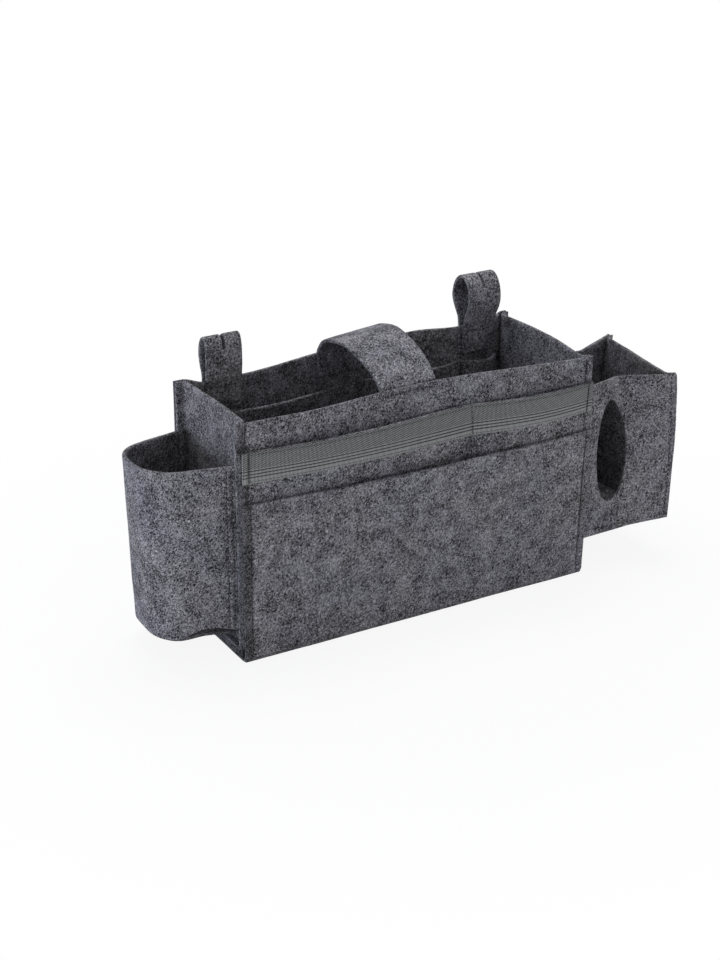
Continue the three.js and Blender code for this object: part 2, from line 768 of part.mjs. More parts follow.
const caddy = new THREE.Group();
caddy.name = 'bedside_caddy';
caddy.position.set(-binWidth / 2, -binDepth / 2, 0);

function add(name, geometry, material = feltMaterial()) {
  const mesh = new THREE.Mesh(geometry, material);
  mesh.name = name;
  caddy.add(mesh);
}

add('body_wrap', bodyWrap());
add('front_lower_pocket', lowerPocket());
add('front_upper_pocket', upperPocket());
add('pocket_webbing', pocketWebbing(), webbingMaterial());
add('side_panel_left', sidePanel(false));
add('side_panel_right', sidePanel(true));
add('back_inner_pocket', innerPocket());
add('handle_strap', handleStrap());
for (const [side, loop] of [['left', leftLoop], ['right', rightLoop]]) {
  add(`hang_loop_${side}`, hangLoop(loop));
  add(`hang_loop_${side}_inner_tail`, loopTailSheet(loop, true));
  add(`hang_loop_${side}_outer_tail`, loopTailSheet(loop, false));
}
add('bottle_pocket_band', bottleBand());
add('bottle_pocket_base', bottleBase());
add('tissue_pocket_front', tissueFront());
add('tissue_pocket_side', tissueSide());
add('tissue_pocket_back', tissueBack());
add('tissue_pocket_base', tissueBase());

export default caddy;
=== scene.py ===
"""Looks of a felt bedside caddy: every sheet of felt, the woven band and the sewing thread.

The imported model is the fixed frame. Every piece here is placed from the front left bottom
corner of the bin in millimetres, as the solids are, and is moved over to the frame's origin
when its mesh is made.
"""
import logging
import math
from dataclasses import dataclass, field, replace
from enum import Enum
from typing import Callable, Iterable, Sequence

import bmesh
import bpy
import numpy as np
from mathutils import Matrix, Vector, noise
from mathutils.bvhtree import BVHTree


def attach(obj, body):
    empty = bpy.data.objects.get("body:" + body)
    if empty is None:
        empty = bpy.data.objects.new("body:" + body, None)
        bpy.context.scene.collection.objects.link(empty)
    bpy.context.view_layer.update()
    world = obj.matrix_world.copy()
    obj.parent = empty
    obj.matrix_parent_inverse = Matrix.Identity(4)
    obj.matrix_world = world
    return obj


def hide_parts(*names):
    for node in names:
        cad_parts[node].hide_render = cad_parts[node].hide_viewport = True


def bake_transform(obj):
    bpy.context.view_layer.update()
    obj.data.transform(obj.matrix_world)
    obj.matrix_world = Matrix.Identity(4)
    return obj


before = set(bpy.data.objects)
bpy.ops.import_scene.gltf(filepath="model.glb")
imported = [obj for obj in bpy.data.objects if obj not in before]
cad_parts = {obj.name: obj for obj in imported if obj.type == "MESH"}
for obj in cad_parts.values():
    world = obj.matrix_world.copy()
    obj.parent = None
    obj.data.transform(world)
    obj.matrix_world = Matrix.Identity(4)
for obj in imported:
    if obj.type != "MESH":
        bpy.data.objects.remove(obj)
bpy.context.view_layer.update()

MM = 0.001
LOG = logging.getLogger("felt_caddy")

FELT = 3.0
LAYER_GAP = 0.3
LAYER = FELT + LAYER_GAP
HALF = FELT / 2

FORWARD, BACKWARD, DOWN = Vector((0, -1, 0)), Vector((0, 1, 0)), Vector((0, 0, -1))
TINY, FAR = 1e-9, 1e9

Span = tuple[float, float]
Lattice = list[list[Vector]]
Face = tuple[int, ...]
# The y of a face at x and z
Depth = Callable[[float, float], float]

# Where a sheet's stops lie close together: by its cut edges and beside its stitch lines
EDGE_STEPS = (0.35, 1.0)
LINE_STEPS = (-1.7, -0.8, 0.0, 0.8, 1.7)
LINE_CLEAR = 2.5
CROWDED_SHARE = 0.45


# Small sums
def share(value: float, low: float, high: float) -> float:
    """Tell how far a value has come from low to high.

    Args:
        value: The value to place.
        low: The value that gives 0.
        high: The value that gives 1.

    Returns:
        A share from 0 to 1.
    """
    return min(max((value - low) / (high - low), 0.0), 1.0)


def mix(low: float, high: float, part: float) -> float:
    """Return the number that lies a part of the way from low to high."""
    return low + (high - low) * part


def smooth(value: float, low: float, high: float) -> float:
    """Return the smooth step of a value between low and high."""
    part = share(value, low, high)
    return part * part * (3 - 2 * part)


def hump(value: float, low: float, high: float) -> float:
    """Return one hump between two stitched lines, flat where it starts and ends."""
    return (1 - math.cos(2 * math.pi * share(value, low, high))) / 2


def plateau(x: float, centre: float, half: float, left: float, right: float) -> float:
    """Return 1 over the width of a loop or strap, falling away on both sides."""
    rising = smooth(x, centre - half - left, centre - half)
    falling = 1 - smooth(x, centre + half, centre + half + right)
    return min(rising, falling)


def stops(low: float, high: float, count: int) -> list[float]:
    """Return count + 1 even stops from low to high."""
    return [mix(low, high, i / count) for i in range(count + 1)]


def close_stops(low: float, high: float, step: float, lines: Iterable[float] = ()) -> list[float]:
    """Space stops along a sheet, closer together at its cut edges and stitch lines.

    Args:
        low: First stop.
        high: Last stop.
        step: Widest spacing of the stops.
        lines: Places of stitch lines, which get stops close around them.

    Returns:
        The stops in rising order.
    """
    kept = [low, *(low + near for near in EDGE_STEPS), *(high - near for near in EDGE_STEPS), high]
    for line in lines:
        if low + LINE_CLEAR < line < high - LINE_CLEAR:
            kept += [line + near for near in LINE_STEPS]
    for stop in stops(low, high, max(1, round((high - low) / step))):
        if all(abs(stop - other) > CROWDED_SHARE * step for other in kept):
            kept.append(stop)
    return sorted(kept)


def along(points: Sequence[Vector], shares: Sequence[float]) -> list[Vector]:
    """Pick points off a polyline at shares of its length.

    Args:
        points: The polyline.
        shares: Rising shares of its length, from 0 to 1.

    Returns:
        One point for each share.
    """
    lengths = [0.0]
    for before, after in zip(points, points[1:]):
        lengths.append(lengths[-1] + (after - before).length)
    total, leg, picked = lengths[-1], 0, []
    for part in shares:
        goal = min(max(part, 0.0), 1.0) * total
        while leg < len(points) - 2 and lengths[leg + 1] < goal:
            leg += 1
        run = max(lengths[leg + 1] - lengths[leg], TINY)
        picked.append(points[leg].lerp(points[leg + 1], (goal - lengths[leg]) / run))
    return picked


def length_of(points: Sequence[Vector]) -> float:
    """Return the length of a polyline."""
    return sum((after - before).length for before, after in zip(points, points[1:]))


def edge_shares(length: float, step: float, lines: Iterable[float] = ()) -> list[float]:
    """Return shares of a length, closer together at both ends and at lines in millimetres."""
    return [stop / length for stop in close_stops(0, length, step, lines)]


def rounded(corners: Sequence[tuple[float, float, float]], parts: int = 6) -> list[Vector]:
    """Round the corners of a plan path.

    Args:
        corners: x, y and corner radius of each corner.
        parts: Number of straight parts in each arc.

    Returns:
        The points of the path in the plane z = 0.
    """
    path: list[Vector] = []
    for i, (x, y, radius) in enumerate(corners):
        corner = Vector((x, y, 0))
        if radius == 0:
            path.append(corner)
            continue
        before = (Vector((*corners[i - 1][:2], 0)) - corner).normalized()
        after = (Vector((*corners[i + 1][:2], 0)) - corner).normalized()
        half = before.angle(after) / 2
        centre = corner + (before + after).normalized() * radius / math.sin(half)
        start = corner + before * radius / math.tan(half) - centre
        end = corner + after * radius / math.tan(half) - centre
        turn = math.atan2(start.cross(end).z, start.dot(end))
        for angle in stops(0, turn, parts):
            path.append(Matrix.Rotation(angle, 3, "Z") @ start + centre)
    return path


def quarter(
    y: float, z: float, radius: float, to_back: bool, parts: int = 6
) -> list[Span]:
    """Return the stations of a quarter turn between a wall and the underside.

    Args:
        y: Place of the turn's centre.
        z: Height of the turn's centre.
        radius: Radius of the sheet's middle surface.
        to_back: Whether it turns up into the back wall.
        parts: Number of straight parts.

    Returns:
        y and z of each station.
    """
    turned = []
    for angle in stops(0, math.pi / 2, parts):
        swing = angle if to_back else math.pi / 2 - angle
        sign = 1 if to_back else -1
        turned.append((y + sign * radius * math.sin(swing), z - radius * math.cos(swing)))
    return turned


def spline(points: Sequence[Vector], count: int) -> list[Vector]:
    """Return a smooth curve through points, with count parts between neighbours."""
    path: list[Vector] = []
    last = len(points) - 2
    for i in range(last + 1):
        a, b = points[max(i - 1, 0)], points[i]
        c, d = points[i + 1], points[min(i + 2, last + 1)]
        for t in stops(0, 1, count)[: None if i == last else -1]:
            slope = (c - a) * t
            bend = (2 * a - 5 * b + 4 * c - d) * (t * t)
            twist = (3 * b - a - 3 * c + d) * (t * t * t)
            path.append(0.5 * (2 * b + slope + bend + twist))
    return path


def sheet_rows(
    path: Callable[[float], list[Vector]], xs: Sequence[float], shares: Sequence[float]
) -> Lattice:
    """Return the lattice of a sheet that follows a path at each x.

    Args:
        path: The sheet's middle at an x, from one cut end to the other.
        xs: Places across the sheet.
        shares: Shares of the path's length.

    Returns:
        One row of points for each share.
    """
    columns = [along(path(x), shares) for x in xs]
    return [list(row) for row in zip(*columns)]


def plan_rows(
    path: Callable[[float], list[Vector]],
    levels: Sequence[float],
    shares: Sequence[float],
    height: Callable[[float, float], float] | None = None,
) -> Lattice:
    """Return the lattice of a wall that follows a plan path at each level.

    Args:
        path: The wall's plan at a level.
        levels: The levels, in order.
        shares: Shares of the path's length.
        height: Height at a level and a share, where it is not the level itself.

    Returns:
        One row of points for each level.
    """
    rows = []
    for level in levels:
        heights = [height(level, part) if height else level for part in shares]
        plan = zip(along(path(level), shares), heights)
        rows.append([Vector((p.x, p.y, z)) for p, z in plan])
    return rows


# The caddy's own form, the same as that of the solids
@dataclass(frozen=True)
class LoopForm:
    """Size of one hanging loop and how it pulls the back wall."""

    centre: float
    height: float
    slit_drop: float
    half_depth: float
    wall_bow: float
    wall_sag: float
    fall_left: float
    fall_right: float
    width: float = 32
    tail: float = 25
    neck: float = 5
    shoulder_share: float = 0.5
    bulge_power: float = 0.7
    slit_width: float = 2.4
    back_bulge: float = 1.0
    neck_half: float = 5.5

    def pull(self, x: float) -> float:
        """Return how much of the loop's pull the wall feels at x."""
        return plateau(x, self.centre, self.width / 2, self.fall_left, self.fall_right)


LEFT_LOOP = LoopForm(
    centre=40, height=34.5, slit_drop=13, half_depth=6.5, wall_bow=7, wall_sag=3,
    fall_left=16, fall_right=90, bulge_power=0.4, back_bulge=1.55,
)
RIGHT_LOOP = LoopForm(
    centre=292, height=42, slit_drop=10, half_depth=14, wall_bow=6, wall_sag=3,
    fall_left=50, fall_right=16, bulge_power=1.0, neck_half=8,
)


@dataclass(frozen=True)
class CaddyForm:
    """Driving sizes of the caddy and the faces that follow from them."""

    width: float = 328
    depth: float = 124
    height: float = 200
    base_bend: float = 0.5
    pocket_bend: float = 4.5
    flange_width: float = 7
    flange_bend: float = 2.5
    front_lean: Span = (0.5, -6)
    back_lean: Span = (-4, 7)
    back_rise: float = 4
    back_rise_start: float = 130
    front_bow: float = 12
    front_bow_centre: float = 185
    front_bow_half: float = 10
    front_bow_fall: float = 125
    front_bow_foot: float = 80
    front_bow_power: float = 2.4
    side_bows: Span = (1.5, -5.5)
    side_rise_foot: float = 50
    strap_centre: float = 157.5
    strap_width: float = 53
    lower_height: float = 136.5
    lower_gape: float = 8
    lower_gape_power: float = 1.5
    upper_height: float = 178
    upper_foot: float = 12
    upper_gape: float = 7.5
    upper_gape_foot: float = 60
    divider: float = 209
    webbing_height: float = 25
    webbing_thickness: float = 1.5
    webbing_inset: float = 1.5
    seam_inset: float = 5
    seam_row: float = 6.6
    # Painted shade over the strips along the end seams, darker at the left end than at the right,
    # and where it fades out
    seam_shade_depth: Span = (0.82, 0.3)
    seam_fade: Span = (-1.5, 0.5)
    inner_height: float = 170
    inner_foot: float = 16
    inner_inset: float = 16
    inner_gape: float = 11
    inner_gape_foot: float = 55
    inner_stitches: Span = (171, 274.5)
    loops: tuple[LoopForm, LoopForm] = (LEFT_LOOP, RIGHT_LOOP)

    def seam_rows(self) -> Span:
        """Return the x of the stitch rows at the left and right end of the front and back."""
        return self.seam_row, self.width - self.seam_row

    def lean_share(self, z: float) -> float:
        """Return how much of the walls' lean has built up at a height."""
        return share(z, self.base_bend + 2 * LAYER, self.height)

    def front(self, x: float, z: float) -> float:
        """Return the y of the outermost front layer, bowed in where the strap pulls."""
        lean = mix(*self.front_lean, share(x, 0, self.width)) * self.lean_share(z)
        fall = self.front_bow_fall
        pull = plateau(x, self.front_bow_centre, self.front_bow_half, fall, fall)
        rise = share(z, self.height - self.front_bow_foot, self.height)
        return lean + self.front_bow * pull * rise**self.front_bow_power

    def front_wall(self, x: float, z: float) -> float:
        """Return the y of the front wall's own outer face, under both pockets."""
        return self.front(x, z) + 2 * LAYER

    def back(self, x: float, z: float) -> float:
        """Return the y of the back wall's outer face, bowed in under each loop."""
        lean = mix(*self.back_lean, share(x, 0, self.width)) * self.lean_share(z)
        pull = sum(loop.wall_bow * loop.pull(x) for loop in self.loops)
        return self.depth + lean - pull * share(z, 0, self.height) ** 2

    def in_front(self, x: float, z: float) -> float:
        """Return the y of the middle of a sheet on the front wall's inner face."""
        return self.front(x, z) + 3 * LAYER + HALF

    def in_back(self, x: float, z: float) -> float:
        """Return the y of the middle of a sheet on the back wall's inner face."""
        return self.back(x, z) - LAYER - HALF

    def back_top(self, x: float) -> float:
        """Return the height of the back wall, sagging under the loops, rising to the right."""
        sag = sum(loop.wall_sag * loop.pull(x) for loop in self.loops)
        return self.height - sag + self.back_rise * share(x, self.back_rise_start, self.width)

    def seam_shade_strip(self, point: Vector) -> float:
        """Tell how much painted shade a point of the front or back gets in the strip along an end
        seam.
        """
        at_right = point.x >= self.width / 2
        inward = self.width - point.x if at_right else point.x
        near, far = (self.seam_row + part for part in self.seam_fade)
        return self.seam_shade_depth[at_right] * (1 - smooth(inward, near, far))

    def lower_face(self, x: float, z: float) -> float:
        """Return the y of the lower pocket's outer face."""
        rise = share(z, 0, self.lower_height) ** self.lower_gape_power
        gape = self.lower_gape * math.sqrt(hump(x, 0, self.width)) * rise
        return self.front(x, z) - gape

    def upper_face(self, x: float, z: float) -> float:
        """Return the y of the upper pocket's outer face, gaping in its two bays."""
        left = hump(x, self.seam_inset, self.divider)
        lobes = left + hump(x, self.divider, self.width - self.seam_inset)
        rise = share(z, self.upper_gape_foot, self.upper_height) ** 2
        return self.front(x, z) + LAYER - self.upper_gape * math.sqrt(lobes) * rise

    def band_face(self, x: float, z: float) -> float:
        """Return the y of the woven band's outer face."""
        return self.upper_face(x, z) - (LAYER_GAP + self.webbing_thickness)

    def inner_face(self, x: float, z: float) -> float:
        """Return the y of the inner pocket's face towards the back wall."""
        edges = [self.inner_inset, *self.inner_stitches, self.width - self.inner_inset]
        lobes = sum(hump(x, low, high) for low, high in zip(edges, edges[1:]))
        rise = share(z, self.inner_gape_foot, self.inner_height) ** 2
        return self.back(x, z) - LAYER - self.inner_gape * math.sqrt(lobes) * rise

    def front_flange(self, mirrored: bool, inward: float, z: float) -> float:
        """Return the y of the middle of a front end flange at a distance from the end."""
        return self.in_front(self.width - inward if mirrored else inward, z)

    def back_flange(self, mirrored: bool, inward: float, z: float) -> float:
        """Return the y of the middle of a back end flange at a distance from the end."""
        end, turn = (
            self.back(self.width - x if mirrored else x, z) for x in (0, self.flange_width + FELT)
        )
        part = inward / (self.flange_width + HALF)
        return mix(end, turn, part) - LAYER - HALF


FORM = CaddyForm()
ORIGIN = Vector((FORM.width / 2, FORM.depth / 2, 0))

# Without a seed, Blender shifts its vector noise by the clock
noise.seed_set(7)


# Stitch rows
class Thread(Enum):
    """The threads that the caddy is sewn with."""

    CHARCOAL = "thread_charcoal"
    BAND = "thread_band"


@dataclass(frozen=True)
class Stitching:
    """How a row is sewn: its stitches, its dent and how deep below the row it dents."""

    pitch: float = 4.2
    length: float = 3.1
    radius: float = 0.3
    groove: float = 0.55
    reach: float = 4.0
    thread: Thread = Thread.CHARCOAL


PLAIN = Stitching()
FIRM = Stitching(groove=0.8)
SEAM = Stitching(pitch=3.6, length=3.2, radius=0.25, groove=1.2)
BAND_SEAM = replace(SEAM, groove=1.4, reach=1.5)
BAND_DIVIDER = Stitching(reach=1.5)
BAND_EDGE = Stitching(3.2, 2.4, 0.2, groove=0.3, reach=1.5, thread=Thread.BAND)


@dataclass
class StitchRow:
    """One row of stitches over the outer face of a layer."""

    name: str
    path: list[Vector]
    facing: Vector
    kind: Stitching

    def lateral(self, points: np.ndarray) -> np.ndarray:
        """Measure how far points lie from the row, seen along its facing direction.

        Args:
            points: An array of points in millimetres.

        Returns:
            The distance of each point, very large where it is on another layer.
        """
        facing = np.array(self.facing)
        best = np.full(len(points), FAR)
        for start, end in zip(self.path, self.path[1:]):
            a = np.array(start)
            leg = np.array(end) - a
            rel = points - a
            part = np.clip(rel @ leg / max(leg @ leg, TINY), 0, 1)
            gap = rel - part[:, None] * leg
            depth = gap @ facing
            flat = np.linalg.norm(gap - depth[:, None] * facing, axis=1)
            best = np.minimum(best, np.where(np.abs(depth) < self.kind.reach, flat, FAR))
        return best


ROW_PARTS = 12


def climb(face: Depth, x: float, span: Span) -> list[Vector]:
    """Return a path up a face at x."""
    return [Vector((x, face(x, z), z)) for z in stops(*span, ROW_PARTS)]


def cross(
    face: Depth, z: float, span: Span, parts: int = ROW_PARTS
) -> list[Vector]:
    """Return a path across a face at a height."""
    return [Vector((x, face(x, z), z)) for x in stops(*span, parts)]


@dataclass
class Sewing:
    """All rows of stitches on the caddy, which dent the felt and carry the thread."""

    rows: list[StitchRow] = field(default_factory=list)
    dent_reach: float = 5
    dent_width: float = 0.95

    def add(self, name: str, path: list[Vector], facing: Vector, kind: Stitching = PLAIN) -> None:
        """Add one row of stitches."""
        self.rows.append(StitchRow(name, path, facing, kind))

    def dents(self, points: np.ndarray) -> np.ndarray:
        """Return how deep the rows pull the felt in at each point, in millimetres."""
        depth = np.zeros(len(points))
        low, high = points.min(axis=0), points.max(axis=0)
        reach = self.dent_reach
        for row in self.rows:
            path = np.array([list(point) for point in row.path])
            if (path.min(axis=0) - reach > high).any() or (path.max(axis=0) + reach < low).any():
                continue
            shallow = np.exp(-((row.lateral(points) / self.dent_width) ** 2))
            depth = np.maximum(depth, row.kind.groove * shallow)
        return depth


# Meshes
WIDE_WAVE, WIDE_STRENGTH = 46.0, 0.5
NARROW_WAVE, NARROW_STRENGTH = 15.0, 0.14
NARROW_SHIFT = Vector((7, 3, 5))
WAVE_FADE = (4, 30)


def soft_wave(point: Vector) -> Vector:
    """Return the slight unevenness of felt at a point, which all layers share."""
    wide = noise.noise_vector(point / WIDE_WAVE) * WIDE_STRENGTH
    narrow = noise.noise_vector(point / NARROW_WAVE + NARROW_SHIFT) * NARROW_STRENGTH
    wave = wide + narrow
    wave.z *= share(point.z, *WAVE_FADE)
    return wave


def cut_distance(points: np.ndarray, axis: int) -> np.ndarray:
    """Return each lattice point's way along an axis to the nearer end."""
    steps = np.linalg.norm(np.diff(points, axis=axis), axis=2)
    way = np.insert(np.cumsum(steps, axis=axis), 0, 0.0, axis=axis)
    return np.minimum(way, np.take(way, [-1], axis=axis) - way)


def readings(points: np.ndarray, reading: Callable[[Vector], float]) -> np.ndarray:
    """Return a reading at each lattice point."""
    flat = [reading(Vector(point)) for point in points.reshape(-1, 3)]
    return np.array(flat).reshape(points.shape[:2])


def uncut(row: int, column: int) -> bool:
    """Tell that a cell of a sheet is not cut out."""
    return False


@dataclass
class FeltLayer:
    """One layer of felt: a lattice of points on its middle surface, and its cut edges."""

    rows: Lattice
    ring: bool = False
    thickness: float = FELT
    thinnest: float = 0.25
    cell_open: Callable[[int, int], bool] = uncut
    edge_gap: Callable[[Vector], float] | None = None
    soften: float = 0.36
    edge_round: float = 1.1
    # Painted shade along cut edges: how far in from a cut edge it reaches, and how dark it is
    # right at the edge
    edge_shade_reach: float = 0.9
    edge_shade_tone: float = 0.2
    # Depth of a stitch dent that gets full painted shade in its groove
    full_shade_dent: float = 1.2
    wave: float = 1.0
    relief: Callable[[Vector], float] | None = None
    # Painted shade over a strip of the sheet, read at each point
    strip_shade: Callable[[Vector], float] | None = None
    # Painted shade that every point of the layer gets at least
    least_shade: float = 0.0

    def grid(self) -> np.ndarray:
        """Return the lattice as an array."""
        return np.array([[list(point) for point in row] for row in self.rows])

    def normals(self, points: np.ndarray) -> np.ndarray:
        """Return the unit normal of the middle surface at each lattice point."""
        if self.ring:
            across = np.roll(points, -1, axis=1) - np.roll(points, 1, axis=1)
        else:
            across = np.gradient(points, axis=1)
        normal = np.cross(across, np.gradient(points, axis=0))
        size = np.linalg.norm(normal, axis=2, keepdims=True)
        return normal / np.maximum(size, TINY)

    def edge_distance(self, points: np.ndarray) -> np.ndarray:
        """Return each lattice point's distance to the nearest cut edge."""
        nearest = cut_distance(points, 0)
        if not self.ring:
            nearest = np.minimum(nearest, cut_distance(points, 1))
        if self.edge_gap is not None:
            nearest = np.minimum(nearest, np.maximum(readings(points, self.edge_gap), 0))
        return nearest

    def build(self, sewing: Sewing) -> tuple[list[Vector], list[Face], list[float]]:
        """Give the layer its thickness, softened edges, stitch dents, unevenness and painted
        shade.

        Args:
            sewing: The rows of stitches that dent it.

        Returns:
            Points in millimetres and faces of a closed mesh, and the painted shade at each point.
        """
        points = self.grid()
        flat = points.reshape(-1, 3)
        normal = self.normals(points)
        gaps = self.edge_distance(points)
        rim = np.clip(gaps / self.edge_round, 0, 1)
        half = self.thickness / 2 * (1 - self.soften * (1 - rim) ** 2)
        dent = sewing.dents(flat).reshape(half.shape)
        half = np.maximum(half - dent * self.thickness / FELT, self.thinnest)
        waves = np.array([list(soft_wave(Vector(point))) for point in flat])
        middle = points + waves.reshape(points.shape) * self.wave
        raised = half if self.relief is None else half + readings(points, self.relief)
        near = middle + normal * raised[..., None]
        far = middle - normal * half[..., None]
        verts = [Vector(point) for point in np.vstack([near, far]).reshape(-1, 3)]
        # Painted shade along cut edges, fading out away from them
        edge_shade = self.edge_shade_tone * (1 - np.clip(gaps / self.edge_shade_reach, 0, 1))
        # Painted shade in stitch grooves, growing with the dent's depth
        painted_shade = np.maximum(edge_shade, np.clip(dent / self.full_shade_dent, self.least_shade, 1))
        # Painted shade over the end seam strips
        if self.strip_shade is not None:
            painted_shade = np.maximum(painted_shade, readings(points, self.strip_shade))
        shades = [float(part) for part in np.tile(painted_shade.reshape(-1), 2)]
        return verts, self.faces(*half.shape), shades

    def flat_size(self) -> tuple[float, float, float]:
        """Return the width, length and area that the layer was cut to, in millimetres."""
        points = self.grid()
        if self.ring:
            points = np.concatenate([points, points[:, :1]], axis=1)
        first = points[1:, 1:] - points[:-1, :-1]
        second = points[1:, :-1] - points[:-1, 1:]
        cells = np.linalg.norm(np.cross(first, second), axis=2) / 2
        for cell in np.ndindex(cells.shape):
            if self.cell_open(*cell):
                cells[cell] = 0
        if self.ring:
            spans = sorted(np.ptp(points.reshape(-1, 3), axis=0))
            width, length = float(spans[2]), float(math.hypot(spans[1], spans[0]))
        else:
            across = np.linalg.norm(np.diff(points, axis=1), axis=2).sum(axis=1)
            down = np.linalg.norm(np.diff(points, axis=0), axis=2).sum(axis=0)
            width, length = float(across.max()), float(down.max())
        return width, length, min(float(cells.sum()), width * length)

    def faces(self, row_count: int, column_count: int) -> list[Face]:
        """Return the faces over both sides and round every edge.

        Args:
            row_count: Number of lattice rows.
            column_count: Number of lattice columns.

        Returns:
            The faces as tuples of point numbers.
        """
        far = row_count * column_count
        last = column_count if self.ring else column_count - 1
        cells = [(r, c) for r in range(row_count - 1) for c in range(last)]
        solid = {cell for cell in cells if not self.cell_open(*cell)}
        faces: list[Face] = []
        for r, c in sorted(solid):
            right = (c + 1) % column_count
            a, b = r * column_count + c, r * column_count + right
            d, e = b + column_count, a + column_count
            faces += [(a, b, d, e), (far + e, far + d, far + b, far + a)]
            sides = (
                ((r - 1, c), a, b),
                ((r, right if self.ring else c + 1), b, d),
                ((r + 1, c), d, e),
                ((r, (c - 1) % column_count if self.ring else c - 1), e, a),
            )
            for beside, p, q in sides:
                if beside not in solid:
                    faces.append((q, p, far + p, far + q))
        return faces


def put(name: str, data: bpy.types.ID) -> bpy.types.Object:
    """Make an object of some data and put it in the scene."""
    piece = bpy.data.objects.new(name, data)
    bpy.context.scene.collection.objects.link(piece)
    return piece


def new_mesh(
    name: str,
    verts: Sequence[Vector],
    faces: Sequence[Face],
    painted_shade: Sequence[float] | None = None,
) -> bpy.types.Object:
    """Make an object from points in the caddy's millimetres.

    Args:
        name: Name of the object.
        verts: Points from the bin's front left bottom corner.
        faces: Faces as tuples of point numbers.
        painted_shade: Painted shade at each point, from 0 to 1, which darkens the colour.

    Returns:
        The new object, with its faces turned outwards and shaded smooth.
    """
    mesh = bpy.data.meshes.new(name)
    mesh.from_pydata([(point - ORIGIN) * MM for point in verts], [], faces)
    # Painted shade at each point, read by the felt and band materials
    if painted_shade is not None:
        shades = mesh.attributes.new("painted_shade", "FLOAT", "POINT")
        shades.data.foreach_set("value", painted_shade)
    shell = bmesh.new()
    shell.from_mesh(mesh)
    loose = [vert for vert in shell.verts if not vert.link_faces]
    bmesh.ops.delete(shell, geom=loose, context="VERTS")
    bmesh.ops.recalc_face_normals(shell, faces=shell.faces)
    shell.to_mesh(mesh)
    shell.free()
    mesh.shade_smooth()
    return put(name, mesh)


# Materials
Triple = tuple[float, float, float]
Colour = Triple
Value = float | bpy.types.NodeSocket


def opaque(colour: Colour) -> tuple[float, float, float, float]:
    """Return a colour with an alpha of one."""
    return (*colour, 1.0)


class NodeBoard:
    """A node tree with short calls to fill it."""

    def __init__(self, tree: bpy.types.NodeTree) -> None:
        """Keep the tree that the board fills."""
        self.tree = tree

    def feed(self, node: bpy.types.Node, values: dict[str | int, object]) -> bpy.types.Node:
        """Fill a node's inputs.

        Args:
            node: The node.
            values: Values of its inputs, by name or number; a socket is linked.

        Returns:
            The same node.
        """
        for key, value in values.items():
            if isinstance(value, bpy.types.NodeSocket):
                self.tree.links.new(value, node.inputs[key])
            else:
                node.inputs[key].default_value = value
        return node

    def add(
        self, kind: str, values: dict[str | int, object] | None = None, **facts: object
    ) -> bpy.types.Node:
        """Add a node.

        Args:
            kind: Blender's name of the node type, without its first word.
            values: Values of its inputs, as feed takes them.
            **facts: Attributes of the node.

        Returns:
            The new node.
        """
        node = self.tree.nodes.new("ShaderNode" + kind)
        for name, value in facts.items():
            setattr(node, name, value)
        return self.feed(node, values or {})

    def sum(self, operation: str, *values: Value) -> bpy.types.NodeSocket:
        """Add a Math node and return its output."""
        return self.add("Math", dict(enumerate(values)), operation=operation).outputs[0]

    def plus(self, first: Value, second: Value) -> bpy.types.NodeSocket:
        """Return the sum of two values."""
        return self.sum("ADD", first, second)

    def minus(self, first: Value, second: Value) -> bpy.types.NodeSocket:
        """Return the first value less the second."""
        return self.sum("SUBTRACT", first, second)

    def times(self, first: Value, second: Value) -> bpy.types.NodeSocket:
        """Return the product of two values."""
        return self.sum("MULTIPLY", first, second)

    def darkened(self, part: Value, loss: Value) -> bpy.types.NodeSocket:
        """Return the gain that takes a loss away where the part is 1."""
        return self.minus(1.0, self.times(part, loss))

    def ramp(self, value: Value, low: Value, high: Value) -> bpy.types.NodeSocket:
        """Return the smooth 0 to 1 reading of a value between low and high."""
        values = {"Value": value, "From Min": low, "From Max": high}
        return self.add("MapRange", values, interpolation_type="SMOOTHSTEP").outputs["Result"]

    def noise(self, place: Value, scale: Value, detail: float) -> bpy.types.Node:
        """Add a Noise Texture."""
        return self.add("TexNoise", {"Vector": place, "Scale": scale, "Detail": detail})

    def vector(self, operation: str, values: dict[str | int, object]) -> bpy.types.NodeSocket:
        """Add a Vector Math node and return its vector."""
        return self.add("VectorMath", values, operation=operation).outputs[0]

    def blend(
        self, part: Value, first: object, second: object, how: str = "MIX"
    ) -> bpy.types.NodeSocket:
        """Return a mix of two colours, each given as a socket or with its alpha."""
        values = {0: part, 6: first, 7: second}
        return self.add("Mix", values, data_type="RGBA", blend_type=how).outputs[2]

    def bump(self, height: Value, strength: float, distance: float) -> bpy.types.NodeSocket:
        """Return the normal that a height gives."""
        values = {"Strength": strength, "Distance": distance, "Height": height}
        return self.add("Bump", values).outputs["Normal"]

    def place(self) -> bpy.types.NodeSocket:
        """Return the place on the piece."""
        return self.add("TexCoord").outputs["Object"]

    def painted_shade(self) -> bpy.types.NodeSocket:
        """Return the painted shade at this point, which darkens the colour."""
        return self.add("Attribute", attribute_name="painted_shade").outputs["Fac"]

    def seen(self) -> bpy.types.NodeSocket:
        """Return 1 for rays that show the surface itself, 0 for those that light others."""
        path = self.add("LightPath").outputs
        mirrored = self.sum("MAXIMUM", path["Is Camera Ray"], path["Is Glossy Ray"])
        return self.sum("MAXIMUM", mirrored, path["Is Transmission Ray"])


def new_material(name: str) -> tuple[bpy.types.Material, NodeBoard, bpy.types.Node]:
    """Start a material, and return it with its board and its main shader."""
    material = bpy.data.materials.new(name)
    material.use_nodes = True
    board = NodeBoard(material.node_tree)
    return material, board, material.node_tree.nodes["Principled BSDF"]


